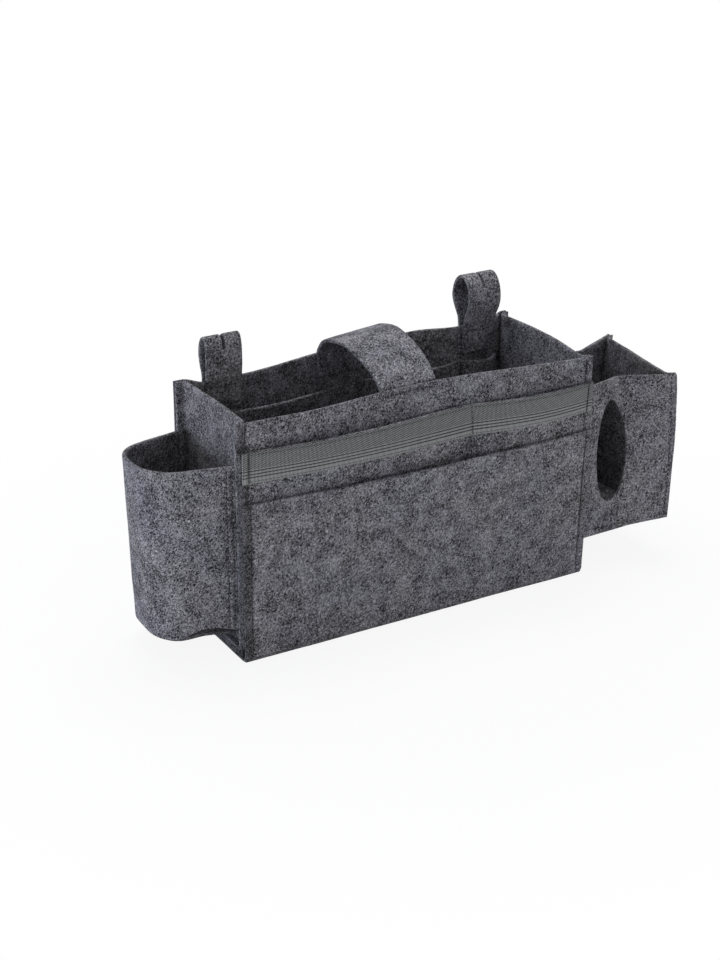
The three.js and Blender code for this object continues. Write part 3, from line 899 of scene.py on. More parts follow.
FIBRE_INPUTS = (
    ("Light Fibre", "NodeSocketColor", (0.3, 0.3, 0.32, 1)),
    ("Dark Fibre", "NodeSocketColor", (0.02, 0.02, 0.022, 1)),
    ("Stray Fibre", "NodeSocketColor", (0.5, 0.5, 0.54, 1)),
    ("Tint", "NodeSocketColor", (0.9, 0.94, 1.0, 1)),
    ("Fibre Scale", "NodeSocketFloat", 960.0),
    ("Contrast", "NodeSocketFloat", 0.11),
    ("Blotch", "NodeSocketFloat", 0.3),
    # How much of the colour is left under full painted shade
    ("Painted Shade Tone", "NodeSocketFloat", 0.4),
)


@dataclass(frozen=True)
class HeatheredFibre:
    """The shader group that draws needled fibres: colour and height of heathered felt."""

    swirl_noise: Span = (300.0, 1.0)
    swirl: float = 0.004
    strand_turns: tuple[Triple, ...] = ((0.3, 0.5, 0.2), (1.1, -0.4, 0.8), (-0.7, 0.9, -0.5))
    strand_scales: tuple[Triple, ...] = ((1.0, 1.0, 2.6), (2.6, 1.0, 1.0), (1.0, 2.6, 1.0))
    strand_detail: float = 2.0
    strand_roughness: float = 0.6
    balance: float = 0.52
    patch_noise: Span = (75.0, 3.0)
    stray_from: Span = (0.66, 0.78)
    tint_noise: Span = (17.0, 2.0)
    tint_from: Span = (0.42, 0.62)
    tint_share: float = 0.6

    def strands(self, board: NodeBoard, place: Value, scale: Value) -> list[bpy.types.NodeSocket]:
        """Return curled streaks that mostly run three ways."""
        bend = board.noise(place, *self.swirl_noise).outputs["Color"]
        turn = board.vector("SUBTRACT", {0: bend, 1: (0.5, 0.5, 0.5)})
        swirl = board.vector("SCALE", {0: turn, "Scale": self.swirl})
        warped = board.vector("ADD", {0: place, 1: swirl})
        ways = []
        for turned, stretch in zip(self.strand_turns, self.strand_scales):
            values = {"Vector": warped, "Rotation": turned, "Scale": stretch}
            laid = board.add("Mapping", values, vector_type="TEXTURE").outputs[0]
            lines = board.noise(laid, scale, self.strand_detail)
            board.feed(lines, {"Roughness": self.strand_roughness})
            ways.append(lines.outputs["Fac"])
        return ways

    def make(self) -> bpy.types.NodeTree:
        """Make the group."""
        tree = bpy.data.node_groups.new("heathered_fibre", "ShaderNodeTree")
        for label, kind, default in FIBRE_INPUTS:
            socket = tree.interface.new_socket(label, in_out="INPUT", socket_type=kind)
            socket.default_value = default
        for label, kind in (("Color", "NodeSocketColor"), ("Height", "NodeSocketFloat")):
            tree.interface.new_socket(label, in_out="OUTPUT", socket_type=kind)
        board = NodeBoard(tree)
        given = tree.nodes.new("NodeGroupInput").outputs
        place = board.place()
        ways = self.strands(board, place, given["Fibre Scale"])
        high, low = (
            board.sum(which, board.sum(which, ways[0], ways[1]), ways[2])
            for which in ("MAXIMUM", "MINIMUM")
        )
        middle = board.times(board.plus(high, low), 0.5)
        patch = board.noise(place, *self.patch_noise).outputs["Fac"]
        shifted = board.plus(middle, board.times(board.minus(patch, 0.5), given["Blotch"]))
        ends = [way(self.balance, given["Contrast"]) for way in (board.minus, board.plus)]
        heather = board.ramp(shifted, *ends)
        mixed = board.blend(heather, given["Dark Fibre"], given["Light Fibre"])
        strayed = board.blend(board.ramp(high, *self.stray_from), mixed, given["Stray Fibre"])
        wide = board.noise(place, *self.tint_noise).outputs["Fac"]
        tinting = board.times(board.ramp(wide, *self.tint_from), self.tint_share)
        tinted = board.blend(tinting, strayed, given["Tint"], "MULTIPLY")
        # Painted shade: the colour is darkened where the mesh's painted shade attribute is high
        gain = board.darkened(board.painted_shade(), board.minus(1.0, given["Painted Shade Tone"]))
        toned = board.vector("SCALE", {0: tinted, "Scale": gain})
        board.feed(tree.nodes.new("NodeGroupOutput"), {"Color": toned, "Height": middle})
        return tree


@dataclass(frozen=True)
class FeltFinish:
    """Finish of one kind of felt surface."""

    name: str
    light: Colour = (0.364, 0.354, 0.379)
    dark: Colour = (0.012, 0.012, 0.014)
    stray: Colour = (0.6, 0.59, 0.62)
    tint: Colour = (0.93, 0.94, 1.02)
    contrast: float = 0.115
    blotch: float = 0.17
    # How much of the felt's colour is left under full painted shade
    shade_tone: float = 0.4
    fuzz: Span = (0.5, 0.0006)
    roughness: float = 0.94
    specular: float = 0.12
    sheen: float = 0.05
    sheen_roughness: float = 0.55

    def make(self, fibre: bpy.types.NodeTree) -> bpy.types.Material:
        """Make the material from the fibre group."""
        material, board, shader = new_material(self.name)
        values = {
            "Light Fibre": opaque(self.light),
            "Dark Fibre": opaque(self.dark),
            "Stray Fibre": opaque(self.stray),
            "Tint": opaque(self.tint),
            "Contrast": self.contrast,
            "Blotch": self.blotch,
            "Painted Shade Tone": self.shade_tone,
        }
        group = board.add("Group", node_tree=fibre)
        drawn = board.feed(group, values).outputs
        look = {
            "Base Color": drawn["Color"],
            "Normal": board.bump(drawn["Height"], *self.fuzz),
            "Roughness": self.roughness,
            "Specular IOR Level": self.specular,
            "Sheen Weight": self.sheen,
            "Sheen Roughness": self.sheen_roughness,
        }
        board.feed(shader, look)
        return material


@dataclass(frozen=True)
class ThreadFinish:
    """Finish of the sewing thread, twisted from two plies."""

    thread: Thread
    colour: Colour
    ply_scale: float = 620.0
    ply_distortion: float = 1.2
    ply_shade: float = 0.55
    ply_bump: Span = (0.5, 0.0002)
    roughness: float = 0.7
    specular: float = 0.2

    def make(self) -> bpy.types.Material:
        """Make the material."""
        material, board, shader = new_material(self.thread.value)
        wave = {"Scale": self.ply_scale, "Distortion": self.ply_distortion, "Detail": 1.0}
        plies = board.add("TexWave", wave, bands_direction="DIAGONAL")
        ply = board.feed(plies, {"Vector": board.place()}).outputs["Fac"]
        dark = tuple(part * self.ply_shade for part in self.colour)
        look = {
            "Base Color": board.blend(ply, opaque(dark), opaque(self.colour)),
            "Normal": board.bump(ply, *self.ply_bump),
            "Roughness": self.roughness,
            "Specular IOR Level": self.specular,
        }
        board.feed(shader, look)
        return material


@dataclass(frozen=True)
class WebbingFinish:
    """Finish of the woven band: a fine twill over its upper part and plain ribs below."""

    name: str = "woven_band"
    yarn: Colour = (0.41, 0.418, 0.418)
    gap: Colour = (0.022, 0.023, 0.024)
    twill_pitch: float = 0.0025
    twill_slope: float = 1.6
    weft_pitch: float = 0.0011
    groove_heights: Span = (0.1569, 0.1645)
    top_groove: float = 0.1632
    groove_pitch: float = 0.0026
    groove_shade: float = 0.92
    head_fade: float = 0.0002
    twill_share: float = 0.85
    twill_from: Span = (-0.9, 0.7)
    weft_from: Span = (-1.0, 0.5)
    rib_from: Span = (-0.1, 0.8)
    fuzz_noise: Span = (900.0, 2.0)
    fuzz_gain: Span = (0.9, 0.55)
    # Share of the band's colour taken away under full painted shade
    shade_loss: float = 0.7
    relief: Span = (0.6, 0.0004)
    roughness: float = 0.72
    specular: float = 0.25

    def make(self) -> bpy.types.Material:
        """Make the material."""
        material, board, shader = new_material(self.name)
        place = board.place()
        split = board.add("SeparateXYZ", {0: place}).outputs
        x, z = split["X"], split["Z"]
        slope = board.plus(x, board.times(z, self.twill_slope))
        turns = board.times(slope, 2 * math.pi / self.twill_pitch)
        twill = board.ramp(board.sum("SINE", turns), *self.twill_from)
        weft = board.sum("SINE", board.times(x, 2 * math.pi / self.weft_pitch))
        fine = board.ramp(weft, *self.weft_from)
        steps = board.times(board.minus(z, self.top_groove), 2 * math.pi / self.groove_pitch)
        foot, head = self.groove_heights
        grooved = board.times(board.sum("GREATER_THAN", z, foot), self.groove_shade)
        grooved = board.times(grooved, board.sum("LESS_THAN", z, head))
        upper = board.ramp(z, head - self.head_fade, head + self.head_fade)
        even = board.darkened(upper, self.twill_share)
        weave = board.times(board.sum("MAXIMUM", twill, even), fine)
        ribs = board.ramp(board.sum("COSINE", steps), *self.rib_from)
        weave = board.times(weave, board.darkened(ribs, grooved))
        fuzz = board.noise(place, *self.fuzz_noise).outputs["Fac"]
        gain, least = self.fuzz_gain
        fuzzed = board.plus(board.times(fuzz, gain), least)
        # Painted shade on the band at its cut edges and stitch grooves
        gain = board.times(fuzzed, board.darkened(board.painted_shade(), self.shade_loss))
        colour = board.blend(weave, opaque(self.gap), opaque(self.yarn))
        look = {
            "Base Color": board.vector("SCALE", {0: colour, "Scale": gain}),
            "Normal": board.bump(weave, *self.relief),
            "Roughness": self.roughness,
            "Specular IOR Level": self.specular,
        }
        board.feed(shader, look)
        return material


@dataclass
class Finishes:
    """All materials of the caddy."""

    felt: bpy.types.Material
    webbing: bpy.types.Material
    threads: dict[Thread, bpy.types.Material]

    @classmethod
    def make(cls) -> "Finishes":
        """Make every material once."""
        felt = FeltFinish("heathered_felt").make(HeatheredFibre().make())
        webbing = WebbingFinish().make()
        threads = (
            ThreadFinish(Thread.CHARCOAL, (0.02, 0.02, 0.023)),
            ThreadFinish(Thread.BAND, (0.06, 0.062, 0.06)),
        )
        return cls(felt, webbing, {finish.thread: finish.make() for finish in threads})


# Placing pieces
BODY = "caddy"


@dataclass
class Workshop:
    """What every sub-assembly is built with: the sewing, the materials and the pieces."""

    sewing: Sewing
    finishes: Finishes
    felt_pieces: list[bpy.types.Object] = field(default_factory=list)

    def lay(
        self,
        name: str,
        layer: FeltLayer,
        nodes: Sequence[str],
        body: str | None = BODY,
        slot: str = "felt",
    ) -> bpy.types.Object:
        """Make one piece of fabric that takes the place of solids.

        Args:
            name: Name of the piece.
            layer: Its lattice.
            nodes: The solids that it stands for.
            body: The body that it moves with, or None to leave it unattached.
            slot: Which material it takes: the woven band's for webbing, felt for all else.

        Returns:
            The new piece.
        """
        piece = new_mesh(name, *layer.build(self.sewing))
        finish = self.finishes.webbing if slot == "webbing" else self.finishes.felt
        piece.data.materials.append(finish)
        if body is not None:
            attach(piece, body)
        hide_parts(*nodes)
        width, length, area = layer.flat_size()
        self.felt_pieces.append(piece)
        LOG.info("%s: cut %.0f x %.0f mm, %.0f cm2", name, width, length, area / 100)
        LOG.info("%s: %d points, for %s", name, len(piece.data.vertices), ", ".join(nodes))
        return piece


# Sub-assemblies
SIDES = ("left", "right")


def sheet_path(stations: Sequence[Span], x: float) -> list[Vector]:
    """Return y and z stations as points at x."""
    return [Vector((x, y, z)) for y, z in stations]


def face_rows(face: Depth, offset: float, xs: Sequence[float], zs: Sequence[float]) -> Lattice:
    """Return the lattice that lies an offset behind a face."""
    return [[Vector((x, face(x, z) + offset, z)) for x in xs] for z in zs]


@dataclass
class Bin:
    """The open bin: one sheet round its front, underside and back, and two ends."""

    shop: Workshop
    step: float = 4.0
    end_step: float = 3.0
    low_row: Span = (10, 135.5)
    mid_row: Span = (138.5, 152)
    top_row: Span = (180, 198.5)
    back_row_foot: float = 10
    back_row_end: float = 2
    under_row: Span = (12, 114)
    wall_parts: int = 44
    end_parts: int = 22
    turn_parts: int = 5
    foot_reaches: tuple[float, ...] = (0.4, 0.75, 1.0)

    def sew(self) -> None:
        """Add the rows of stitches that close the bin."""
        add = self.shop.sewing.add
        front = (
            ("low", FORM.lower_face, self.low_row),
            ("mid", FORM.upper_face, self.mid_row),
            ("top", FORM.front_wall, self.top_row),
        )
        for side, x in zip(SIDES, FORM.seam_rows()):
            for name, face, span in front:
                add(f"front_{side}_{name}", climb(face, x, span), FORWARD, SEAM)
            span = (self.back_row_foot, FORM.back_top(x) - self.back_row_end)
            add(f"back_{side}", climb(FORM.back, x, span), BACKWARD)
            under = [Vector((x, y, 0)) for y in stops(*self.under_row, ROW_PARTS)]
            add(f"under_{side}", under, DOWN)

    def wrap_path(self, x: float) -> list[Vector]:
        """Return the middle of the long sheet at x, from the front rim to the back rim."""
        bend = FORM.base_bend + HALF
        foot = LAYER + FORM.base_bend + FELT
        front_y = 2 * LAYER + FORM.base_bend + FELT
        back_y = FORM.depth - FORM.base_bend - FELT
        down = stops(FORM.height, foot, self.wall_parts)
        up = stops(foot, FORM.back_top(x), self.wall_parts)
        front = [(FORM.front_wall(x, z) + HALF, z) for z in down]
        back = [(FORM.back(x, z) - HALF, z) for z in up]
        under = quarter(front_y, foot, bend, False) + quarter(back_y, foot, bend, True)
        return sheet_path(front[:-1] + under + back[1:], x)

    def wrap(self) -> None:
        """Make the long sheet."""
        xs = close_stops(0, FORM.width, self.step, FORM.seam_rows())
        parts = edge_shares(length_of(self.wrap_path(FORM.width / 2)), self.step)
        # The sheet gets painted shade over its end seam strips
        layer = FeltLayer(sheet_rows(self.wrap_path, xs, parts), strip_shade=FORM.seam_shade_strip)
        self.shop.lay("bin_wrap_felt", layer, ["body_wrap"])

    def end_path(self, mirrored: bool, z: float) -> list[Vector]:
        """Return the plan of an end wall at a height, from flange to flange."""
        wall = FORM.flange_width + HALF
        bend = FORM.flange_bend + HALF
        front, back = FORM.front_flange(mirrored, wall, z), FORM.back_flange(mirrored, wall, z)
        bow = FORM.side_bows[mirrored] * share(z, 0, FORM.height) ** 2
        first, last = front + bend, back - bend
        middle = [
            (wall + bow * math.sin(math.pi * share(y, first, last)), y, 0.0)
            for y in stops(first, last, self.end_parts)[1:-1]
        ]
        corners = [
            (0, FORM.front_flange(mirrored, 0, z), 0.0),
            (wall, front, bend),
            *middle,
            (wall, back, bend),
            (0, FORM.back_flange(mirrored, 0, z), 0.0),
        ]
        placed = [(FORM.width - x if mirrored else x, y, radius) for x, y, radius in corners]
        return [Vector((point.x, point.y, z)) for point in rounded(placed)]

    def end(self, side: str, mirrored: bool) -> None:
        """Make an end wall with its turned-out edges at the front, the back and below."""
        foot = 2 * LAYER + HALF
        bend = FORM.flange_bend + HALF
        parts = edge_shares(length_of(self.end_path(mirrored, FORM.height / 2)), self.end_step)
        rise = FORM.back_rise if mirrored else 0
        rows = []
        for z in close_stops(foot + bend, FORM.height, self.step)[::-1]:
            climbed = share(z, FORM.side_rise_foot, FORM.height)
            plan = zip(along(self.end_path(mirrored, z), parts), parts)
            rows.append([point + Vector((0, 0, rise * part * climbed)) for point, part in plan])
        base = along(self.end_path(mirrored, foot + bend), parts)
        for angle in stops(0, math.pi / 2, self.turn_parts)[1:]:
            out, z = bend * (1 - math.cos(angle)), foot + bend - bend * math.sin(angle)
            rows.append([Vector((self.turned(p.x, out, mirrored), p.y, z)) for p in base])
        edge = FORM.width if mirrored else 0.0
        for reach in self.foot_reaches:
            rows.append([Vector((mix(p.x, edge, reach), p.y, foot)) for p in rows[-1]])
        self.shop.lay(f"bin_end_{side}_felt", FeltLayer(rows), [f"side_panel_{side}"])

    @staticmethod
    def turned(x: float, out: float, mirrored: bool) -> float:
        """Return an x moved outwards, though not past the bin's end."""
        return min(x + out, FORM.width) if mirrored else max(x - out, 0.0)

    def build(self) -> None:
        """Make the bin."""
        self.wrap()
        self.end("left", False)
        self.end("right", True)


@dataclass
class FrontPockets:
    """The two pocket sheets on the front and the woven band on the upper one."""

    shop: Workshop
    step: float = 4.0
    band_steps: Span = (3.0, 0.45)
    wall_parts: int = 32
    divider_on_band: Span = (154, 177)
    divider_on_felt: Span = (138, 152)
    band_seam: Span = (153.5, 177.5)
    band_edges: tuple[tuple[str, float], ...] = (("top", 176.4), ("foot", 154.6))
    band_edge_inset: float = 7
    band_edge_parts: int = 60
    rib_heights: tuple[float, ...] = (158.0, 160.6, 163.2)
    rib_width: float = 0.42
    rib_depth: float = 0.5

    def sew(self) -> None:
        """Add the rows that split the upper pocket and hold its band."""
        add = self.shop.sewing.add
        x, band = FORM.divider, FORM.band_face
        add("divider_band", climb(band, x, self.divider_on_band), FORWARD, BAND_DIVIDER)
        add("divider_felt", climb(FORM.upper_face, x, self.divider_on_felt), FORWARD)
        for side, x in zip(SIDES, FORM.seam_rows()):
            add(f"band_{side}", climb(band, x, self.band_seam), FORWARD, BAND_SEAM)
        span = (self.band_edge_inset, FORM.width - self.band_edge_inset)
        for name, z in self.band_edges:
            path = cross(band, z, span, self.band_edge_parts)
            add(f"band_{name}", path, FORWARD, BAND_EDGE)

    def lower_path(self, x: float) -> list[Vector]:
        """Return the middle of the lower pocket at x, from its rim to its end below."""
        bend = FORM.pocket_bend
        down = stops(FORM.lower_height, bend, self.wall_parts)
        front = [(FORM.lower_face(x, z) + HALF, z) for z in down]
        under = quarter(bend, bend, bend - HALF, False)
        return sheet_path([*front[:-1], *under, (FORM.depth - 2 * FELT, HALF)], x)

    def lower(self) -> None:
        """Make the lower pocket's sheet, which turns under the bin."""
        xs = close_stops(0, FORM.width, self.step, FORM.seam_rows())
        parts = edge_shares(length_of(self.lower_path(FORM.width / 2)), self.step)
        # The sheet gets painted shade over its end seam strips
        layer = FeltLayer(sheet_rows(self.lower_path, xs, parts), strip_shade=FORM.seam_shade_strip)
        self.shop.lay("lower_pocket_felt", layer, ["front_lower_pocket"])

    def upper(self) -> None:
        """Make the upper pocket's sheet."""
        xs = close_stops(0, FORM.width, self.step, [*FORM.seam_rows(), FORM.divider])
        zs = close_stops(FORM.upper_foot, FORM.upper_height, self.step)
        # The sheet gets painted shade over its end seam strips
        layer = FeltLayer(face_rows(FORM.upper_face, HALF, xs, zs), strip_shade=FORM.seam_shade_strip)
        self.shop.lay("upper_pocket_felt", layer, ["front_upper_pocket"])

    def band_relief(self, point: Vector) -> float:
        """Return how far the band's ribs stand out at a point."""
        width = self.rib_width
        groove = sum(math.exp(-(((point.z - z) / width) ** 2)) for z in self.rib_heights)
        return -self.rib_depth * groove

    def webbing(self) -> None:
        """Make the woven band."""
        inset = FORM.webbing_inset
        across, up = self.band_steps
        low = FORM.upper_height - FORM.webbing_height
        xs = close_stops(inset, FORM.width - inset, across, [*FORM.seam_rows(), FORM.divider])
        zs = close_stops(low, FORM.upper_height, up)
        middle = LAYER_GAP + FORM.webbing_thickness / 2
        rows = face_rows(FORM.upper_face, -middle, xs, zs)
        layer = FeltLayer(rows, thickness=FORM.webbing_thickness, relief=self.band_relief)
        self.shop.lay("woven_band", layer, ["pocket_webbing"], slot="webbing")

    def build(self) -> None:
        """Make the front pockets."""
        self.lower()
        self.upper()
        self.webbing()


@dataclass
class InnerPocket:
    """The pocket sheet on the inner face of the back wall."""

    shop: Workshop
    step: float = 4.0
    row_inset: float = 4
    row_ends: Span = (2, 1)

    def lines(self) -> list[float]:
        """Return the x of the pocket's upright stitch rows."""
        inset = FORM.inner_inset + self.row_inset
        return [inset, *FORM.inner_stitches, FORM.width - inset]

    def sew(self) -> None:
        """Add the rows that split the pocket."""
        foot, top = self.row_ends
        zs = stops(FORM.inner_foot + foot, FORM.inner_height - top, ROW_PARTS)
        for i, x in enumerate(self.lines()):
            path = [Vector((x, FORM.inner_face(x, z) - FELT, z)) for z in zs]
            self.shop.sewing.add(f"inner_{i}", path, FORWARD, FIRM)

    def build(self) -> None:
        """Make the pocket."""
        inset = FORM.inner_inset
        xs = close_stops(inset, FORM.width - inset, self.step, self.lines())
        zs = close_stops(FORM.inner_foot, FORM.inner_height, self.step)
        layer = FeltLayer(face_rows(FORM.inner_face, -HALF, xs, zs))
        self.shop.lay("inner_pocket_felt", layer, ["back_inner_pocket"])


@dataclass
class Strap:
    """The carrying strap over the middle of the bin."""

    shop: Workshop
    step: float = 3.0
    rise: float = 23.5
    tilt: float = 3
    front_tail: float = 26
    back_tail: float = 20
    tail_parts: tuple[int, int] = (6, 5)
    arch_parts: int = 5
    row_inset: float = 3
    front_row: float = 196.4
    back_rows: tuple[tuple[str, float], ...] = (("high", 4), ("low", 16))
    arch: tuple[Span, ...] = (
        (0, 0), (0.06, 0.26), (0.14, 0.5), (0.31, 0.78),
        (0.56, 1), (0.8, 0.84), (0.92, 0.6), (1, 0.12),
    )

    def sew(self) -> None:
        """Add the rows that hold the strap to both walls."""
        add = self.shop.sewing.add
        low = FORM.strap_centre - FORM.strap_width / 2 + self.row_inset
        span = (low, low + FORM.strap_width - 2 * self.row_inset)
        add("strap_front", cross(FORM.front_wall, self.front_row, span), FORWARD, FIRM)
        for name, drop in self.back_rows:
            add(f"strap_back_{name}", cross(FORM.back, FORM.height - drop, span), BACKWARD)

    def path(self, x: float) -> list[Vector]:
        """Return the middle of the strap at x, from its front tail to its back tail."""
        top = FORM.height
        crest = self.rise + self.tilt * (x - FORM.strap_centre) / (FORM.strap_width / 2)
        ends = FORM.in_front(x, top), FORM.in_back(x, top)
        arch = [Vector((x, mix(*ends, part), top + crest * rise)) for part, rise in self.arch]
        up, down = self.tail_parts
        rising = stops(top - self.front_tail, top, up)[:-1]
        falling = stops(top, top - self.back_tail, down)
        front = [Vector((x, FORM.in_front(x, z), z)) for z in rising]
        back = [Vector((x, FORM.in_back(x, z), z)) for z in falling]
        return front + spline(arch, self.arch_parts) + back

    def build(self) -> None:
        """Make the strap."""
        half = FORM.strap_width / 2
        xs = close_stops(FORM.strap_centre - half, FORM.strap_centre + half, self.step)
        parts = edge_shares(length_of(self.path(FORM.strap_centre)), self.step)
        layer = FeltLayer(sheet_rows(self.path, xs, parts))
        self.shop.lay("carrying_strap_felt", layer, ["handle_strap"])


@dataclass
class HangingLoop:
    """A strip of felt folded over into a loop, its two tails sewn to the back wall."""

    shop: Workshop
    side: str
    form: LoopForm
    steps: Span = (3.0, 2.2)
    row_inset: float = 3
    high_row_drop: float = 4.5
    low_row_rise: float = 4
    tail_end: float = 1.5
    tail_parts: int = 8
    flank_foot: float = 2.0
    flank_parts: int = 18
    fall_power: float = 0.3
    slit_steps: tuple[float, ...] = (0.0, 0.4, 1.1)
    slit_clear: float = 1.6
    bend_span: Span = (-3, 7)

    def hinge(self) -> Vector:
        """Return the middle of the fold line over the back wall."""
        half = self.form.width / 2
        top = max(FORM.back_top(self.form.centre + side) for side in (-half, half))
        y = FORM.back(self.form.centre, top) - HALF
        return Vector((self.form.centre, y, top + LAYER_GAP + FELT))

    def sew(self) -> None:
        """Add the rows that hold both tails."""
        form, add = self.form, self.shop.sewing.add
        half, inset = form.width / 2, self.row_inset
        xs = stops(form.centre - half + inset, form.centre + half - inset, ROW_PARTS)
        rows = (("high", self.high_row_drop), ("low", form.tail - self.low_row_rise))
        for name, drop in rows:
            z = FORM.back_top(form.centre) - drop
            inner = [Vector((x, FORM.back(x, z) - LAYER - FELT, z)) for x in xs]
            outer = [Vector((x, FORM.back(x, z) + LAYER, z)) for x in xs]
            add(f"loop_{self.side}_in_{name}", inner, FORWARD)
            add(f"loop_{self.side}_out_{name}", outer, BACKWARD)

    def half_depth(self, height: float) -> float:
        """Return the half depth of the middle of the strip at a height over the hinge."""
        form = self.form
        widest = form.height * form.shoulder_share
        bulge = math.sin(math.pi / 2 * share(height, form.neck, widest)) ** form.bulge_power
        return max(mix(form.neck_half, form.half_depth, bulge) - HALF, LAYER)

    def path(self, x: float) -> list[Vector]:
        """Return the middle of the strip at x, from its inner tail round to its outer."""
        form, hinge = self.form, self.hinge()
        shoulder = form.height * form.shoulder_share
        top = FORM.back_top(form.centre)
        tail = stops(top - form.tail, top - self.tail_end, self.tail_parts)
        inner = [Vector((x, FORM.in_back(x, z), z)) for z in tail]
        outer = [Vector((x, FORM.back(x, z) + LAYER_GAP + HALF, z)) for z in tail]
        levels = stops(self.flank_foot, shoulder, self.flank_parts)
        flank = [(self.half_depth(level), level) for level in levels]
        radius, over_shoulder = form.half_depth - HALF, form.height - shoulder - HALF
        over = [
            (radius * math.cos(angle), shoulder + over_shoulder * math.sin(angle))
            for angle in stops(0, math.pi, self.flank_parts)[1:-1]
        ]
        over = [(half if half > 0 else half * form.back_bulge, h) for half, h in over]
        fall = []
        for half, h in reversed(flank):
            out = half * form.back_bulge * share(h, 0, shoulder) ** self.fall_power
            fall.append((-max(out, LAYER), h))
        round_loop = [Vector((x, hinge.y - half, hinge.z + h)) for half, h in flank + over + fall]
        return inner + round_loop + outer[::-1]

    def stops_across(self) -> list[float]:
        """Return the x of the strip's columns, close together beside the slit."""
        form = self.form
        half, slit = form.width / 2, form.slit_width / 2
        xs = close_stops(form.centre - half, form.centre + half, self.steps[0])
        near = [side * (slit + step) for side in (-1, 1) for step in self.slit_steps]
        clear = [x for x in xs if abs(x - form.centre) > slit + self.slit_clear]
        return sorted(clear + [form.centre + step for step in near])

    def build(self) -> None:
        """Make the strip with its slit, and bake its place into its mesh."""
        form, hinge = self.form, self.hinge()
        slit = form.slit_width / 2
        xs = self.stops_across()
        parts = edge_shares(length_of(self.path(form.centre)), self.steps[1])
        rows = sheet_rows(self.path, xs, parts)
        crest = hinge.z + form.height - form.slit_drop
        middle = xs.index(form.centre - slit)

        def is_open(row: int, column: int) -> bool:
            """Tell whether a cell lies in the slit."""
            return column == middle and (rows[row][0].z + rows[row + 1][0].z) / 2 > crest

        def gap(point: Vector) -> float:
            """Return a point's distance from the slit."""
            return math.hypot(max(crest - point.z, 0), max(abs(point.x - form.centre) - slit, 0))

        layer = FeltLayer(rows, cell_open=is_open, edge_gap=gap)
        nodes = [f"hang_loop_{self.side}{part}" for part in ("", "_inner_tail", "_outer_tail")]
        piece = self.shop.lay(f"hanging_loop_{self.side}_felt", layer, nodes, body=None)
        start, end = (tuple((hinge - ORIGIN + Vector((0, 0, z))) * MM) for z in self.bend_span)
        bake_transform(piece)
        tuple(start)
        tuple(end)


